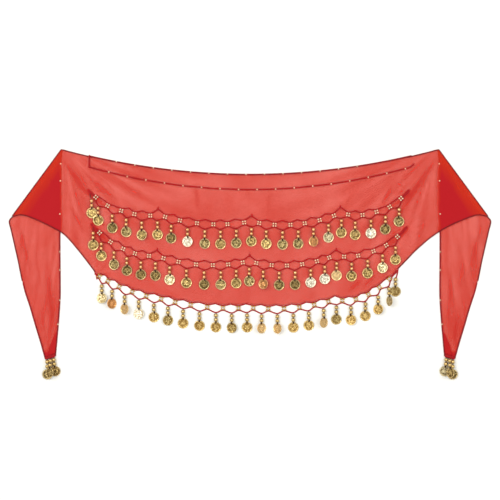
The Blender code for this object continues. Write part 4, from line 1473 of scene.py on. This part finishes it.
def beads_on(path, axis, values):
    """A bead on a path wherever its coordinate on one axis passes a value."""
    found = []
    for value in values:
        for a, b in zip(path, path[1:]):
            if min(a[axis], b[axis]) <= value <= max(a[axis], b[axis]) and a[axis] != b[axis]:
                at = Vector(a).lerp(Vector(b), (value - a[axis]) / (b[axis] - a[axis]))
                at.z = max(at.z + EDGE_BEAD_UP, cloth_face(at.x, at.y) if at.y > UNDER_CLOTH_Y else 0.0)
                found.append((at, (Vector(b) - Vector(a)).normalized()))
                break
    return found


edge_beads = {"top_edging": beads_on(EDGING_PATHS["top_edging"], 0, TOP_BEADS),
              "waist_line": beads_on(EDGING_PATHS["waist_line"], 0, WAIST_BEADS)}
for side, place in SIDES:
    path = EDGING_PATHS["inner_edging_" + place]
    path = [(path[0][0], INNER_BEADS_Y[0] + 1.0, path[0][2])] + path
    edge_beads["inner_edging_" + place] = beads_on(path, 1, INNER_BEADS_Y)
seed_pieces = {}
for name, net in NETS.items():
    radius, apart, finish = SEEDS[net.on_cloth]
    seed_pieces[name] = string_beads(piece_name("seed_beads", name), cluster_beads(net, radius, apart),
                                     radius, finish, SEED_BEAD)
for name, beads in edge_beads.items():
    seed_pieces[name] = string_beads("seed_beads_" + name, beads, EDGE_BEAD_R, SEED_PALE, SEED_BEAD)
print("seed bead triangles:", triangles(seed_pieces))

# %% [markdown]
# ## Turned-over tips
# Towards each tip the tail's inner edge is folded over onto its face, so a narrow wedge lies double
# there. It is the same cloth: a second sheet just over the first, joined to it by a small roll along the
# fold.

# %% The folds at the tips
# x and y on the fold, then on the turned edge
TIP_SECTIONS = ((338.6, -118, 340.2, -119.4), (339.6, -130, 345.6, -131.7),
                (340.9, -144, 351.2, -145.9), (342.2, -155, 352.6, -157.6))
TIP_FOLD_COLUMNS = 24
TIP_FOLD_ROWS = 10
TIP_ROLL_ROWS = 5
TIP_ROLL_R = 0.55
TIP_SETTLE = 0.5          # the turned edge lies this much lower than the roll
TIP_RIPPLE = 0.12


def tip_fold(side, place):
    """The wedge turned over at a tip, with the roll that joins it to the tail's own sheet, and its area."""
    points = []
    for c in range(TIP_FOLD_COLUMNS + 1):
        ax, ay, bx, by = through(TIP_SECTIONS, c / TIP_FOLD_COLUMNS)
        low = tail_face(ax, ay) - SHEET / 2
        for r in range(TIP_ROLL_ROWS):
            a = pi * r / TIP_ROLL_ROWS
            points.append((side * (ax - TIP_ROLL_R * sin(a)), ay, low + TIP_ROLL_R * (1 - cos(a))))
        for r in range(TIP_FOLD_ROWS + 1):
            t = r / TIP_FOLD_ROWS
            x, y = between((ax, ay), (bx, by), t)
            ripple = TIP_RIPPLE * noise.noise((x / 3, y / 5, side))
            points.append((side * x, y, low + 2 * TIP_ROLL_R - TIP_SETTLE * t + ripple))
    rows = TIP_ROLL_ROWS + TIP_FOLD_ROWS + 1
    faces = []
    for c in range(TIP_FOLD_COLUMNS):
        for k in range(c * rows, (c + 1) * rows - 1):
            faces.append((k, k + rows, k + rows + 1, k + 1)[::-side])
    made = mesh_object("tip_wedge_" + place, points, faces, CHIFFON)
    # the turned wedge lies double and takes the density of a fold: partly painted shade, as where the body
    # lies over a tail
    set_values(made.data, "drawn_close", "FLOAT", [FOLDED] * len(points))
    cut = made.data.uv_layers.new(name="cut")
    for loop, corner in zip(made.data.loops, cut.data):
        corner.uv = [MM * value for value in points[loop.vertex_index][:2]]
    return made, thicken(made)


tip_wedges = {place: tip_fold(side, place) for side, place in SIDES}
print("tip folds:", {place: f"{area * 1e6:.0f} mm2" for place, (made, area) in tip_wedges.items()})

# %% [markdown]
# ## Wound tips
# The end of each tail is pleated small and wound with the nets' crimson yarn, knotted at both sides. The
# winding is a helix round the pleats, and each knot three crossed turns.

# %% Winding and knots
WIND_DOWN = 1.2           # its middle line below the cloth's end, and over the table
WIND_Z = 2.9
WIND_R = 2.1
WIND_PITCH = 0.85
WIND_STEPS = 9
WIND_UNEVEN = 0.12
TIP_KNOT_R = 2.2
TIP_KNOT_STEPS = 12
TIP_KNOT_PLACES = (0.07, 0.93)
TIP_KNOT_LEANS = (0.0, 1.0, 2.1)
TIP_YARN_R = 0.5


def winding(side):
    """A helix of yarn round the pleated end, and a knot at each side of it."""
    inner, outer = (Vector((side * end.x, end.y - WIND_DOWN, WIND_Z)) for end in (TIP_INNER, TIP_OUTER))
    along = (outer - inner).normalized()
    across = along.cross(RISE)
    steps = round((outer - inner).length / WIND_PITCH) * WIND_STEPS
    helix = []
    for k in range(steps + 1):
        a = FULL_TURN * k / WIND_STEPS
        wide = WIND_R * (1 + WIND_UNEVEN * sin(0.37 * a))
        helix.append(inner.lerp(outer, k / steps) + wide * (cos(a) * RISE + sin(a) * across))
    paths = [helix]
    turns = [FULL_TURN * k / TIP_KNOT_STEPS for k in range(TIP_KNOT_STEPS + 1)]
    for middle in (inner.lerp(outer, share) for share in TIP_KNOT_PLACES):
        for lean in TIP_KNOT_LEANS:
            first = (cos(lean) * along + sin(lean) * across).normalized()
            second = (0.8 * RISE + 0.6 * along.cross(first)).normalized()
            paths.append([middle + TIP_KNOT_R * (cos(a) * first + sin(a) * second) for a in turns])
    return paths


tip_windings = {place: tube("tip_winding_" + place, winding(side), TIP_YARN_R, NET_YARN)
                for side, place in SIDES}
print("winding triangles:", triangles(tip_windings))

# %% [markdown]
# ## Table and light
# A pale table, a room that is bright overhead and dim towards its walls, a large softbox up at the left
# and a weaker one at the right. The coins and beads are mirrors: their flat parts show the bright
# ceiling, their slopes the dim walls, and that is what makes stamped metal sparkle.

# %% Table, room and softboxes
TABLE_HALF = 10000.0
WALLS = 0.5
CEILING = 1.0
white, tree, shader = new_finish("pale_table")
grain = add(tree, "ShaderNodeTexNoise", Scale=3.0)
feed(shader, Base_Color=blend(tree, grain, linear("#f9f8f2"), linear("#fbfaf4")), Roughness=0.9,
     Specular_IOR_Level=0.0)
corners = [(TABLE_HALF * i, TABLE_HALF * j, 0.0) for i, j in ((-1, -1), (1, -1), (1, 1), (-1, 1))]
table = mesh_object("table", corners, [(0, 1, 2, 3)], white)

world = bpy.data.worlds.new("soft_room")
world.use_nodes = True
tree = world.node_tree
way = add(tree, "ShaderNodeSeparateXYZ", add(tree, "ShaderNodeTexCoord").outputs["Generated"])
glow = add(tree, "ShaderNodeMapRange", way.outputs["Z"], interpolation_type="SMOOTHSTEP", From_Min=0.3,
           To_Min=WALLS, To_Max=CEILING)
feed(tree.nodes["Background"], Color=(1.0, 1.0, 1.0, 1.0), Strength=glow)
bpy.context.scene.world = world


def softbox(name, place, wide, watts):
    """A square lamp that faces the scarf's middle from a place in metres."""
    light = bpy.data.lights.new(name, "AREA")
    light.shape = "SQUARE"
    light.size = wide
    light.energy = watts
    made = in_scene(name, light)
    made.location = place
    made.rotation_euler = (-Vector(place)).to_track_quat("-Z", "Y").to_euler()


softbox("large_softbox", MM * MAIN_LIGHT_AT, 1.8, 38.0)
softbox("small_softbox", (1.7, 0.4, 2.3), 1.4, 16.0)
print("lights:", len(bpy.data.lights))

# %% [markdown]
# ## Camera
# It looks straight down from 2.5 m, with a long lens, so that the frame takes in 875 mm of the table.

# %% Camera and tone
FRAME_WIDE = 875.0
SENSOR_MM = 36.0
lens = bpy.data.cameras.new("above")
lens.sensor_width = SENSOR_MM
lens.lens = SENSOR_MM * CAMERA_AT.z / FRAME_WIDE
camera = in_scene("above", lens)
camera.location = MM * CAMERA_AT
bpy.context.scene.camera = camera
bpy.context.scene.view_settings.view_transform = "Standard"
print("lens in mm:", round(lens.lens, 1))

# %% [markdown]
# ## Attaching the pieces
# Every piece rides on the one body, and the imported solids that it stands for are hidden.

def declare(piece, slot, *nodes):
    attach(piece, "root")
    if nodes:
        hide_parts(*nodes)


EDGE_NODES = {"top_edging": "top_edge_cord", "waist_line": "waist_cord"}
declare(scarf, "chiffon", "body_panel", "tail_left", "tail_right")
declare(hem, "yarn")
for name, made in edgings.items():
    declare(made, "yarn", EDGE_NODES.get(name, "tail_" + name.replace("edging", "cord")))
for name in DROPS:
    declare(coin_pieces[name], "coins", name)
    declare(bead_pieces[name], "coins", name)
    declare(thread_pieces[name], "yarn", name)
for name in NETS:
    declare(net_pieces[name], "yarn", name)
    declare(seed_pieces[name], "coins", name)
for name in edge_beads:
    declare(seed_pieces[name], "coins")
for place, (made, area) in tip_wedges.items():
    declare(tip_windings[place], "yarn", "tip_coins_" + place)
    declare(made, "chiffon", "tip_fold_" + place)
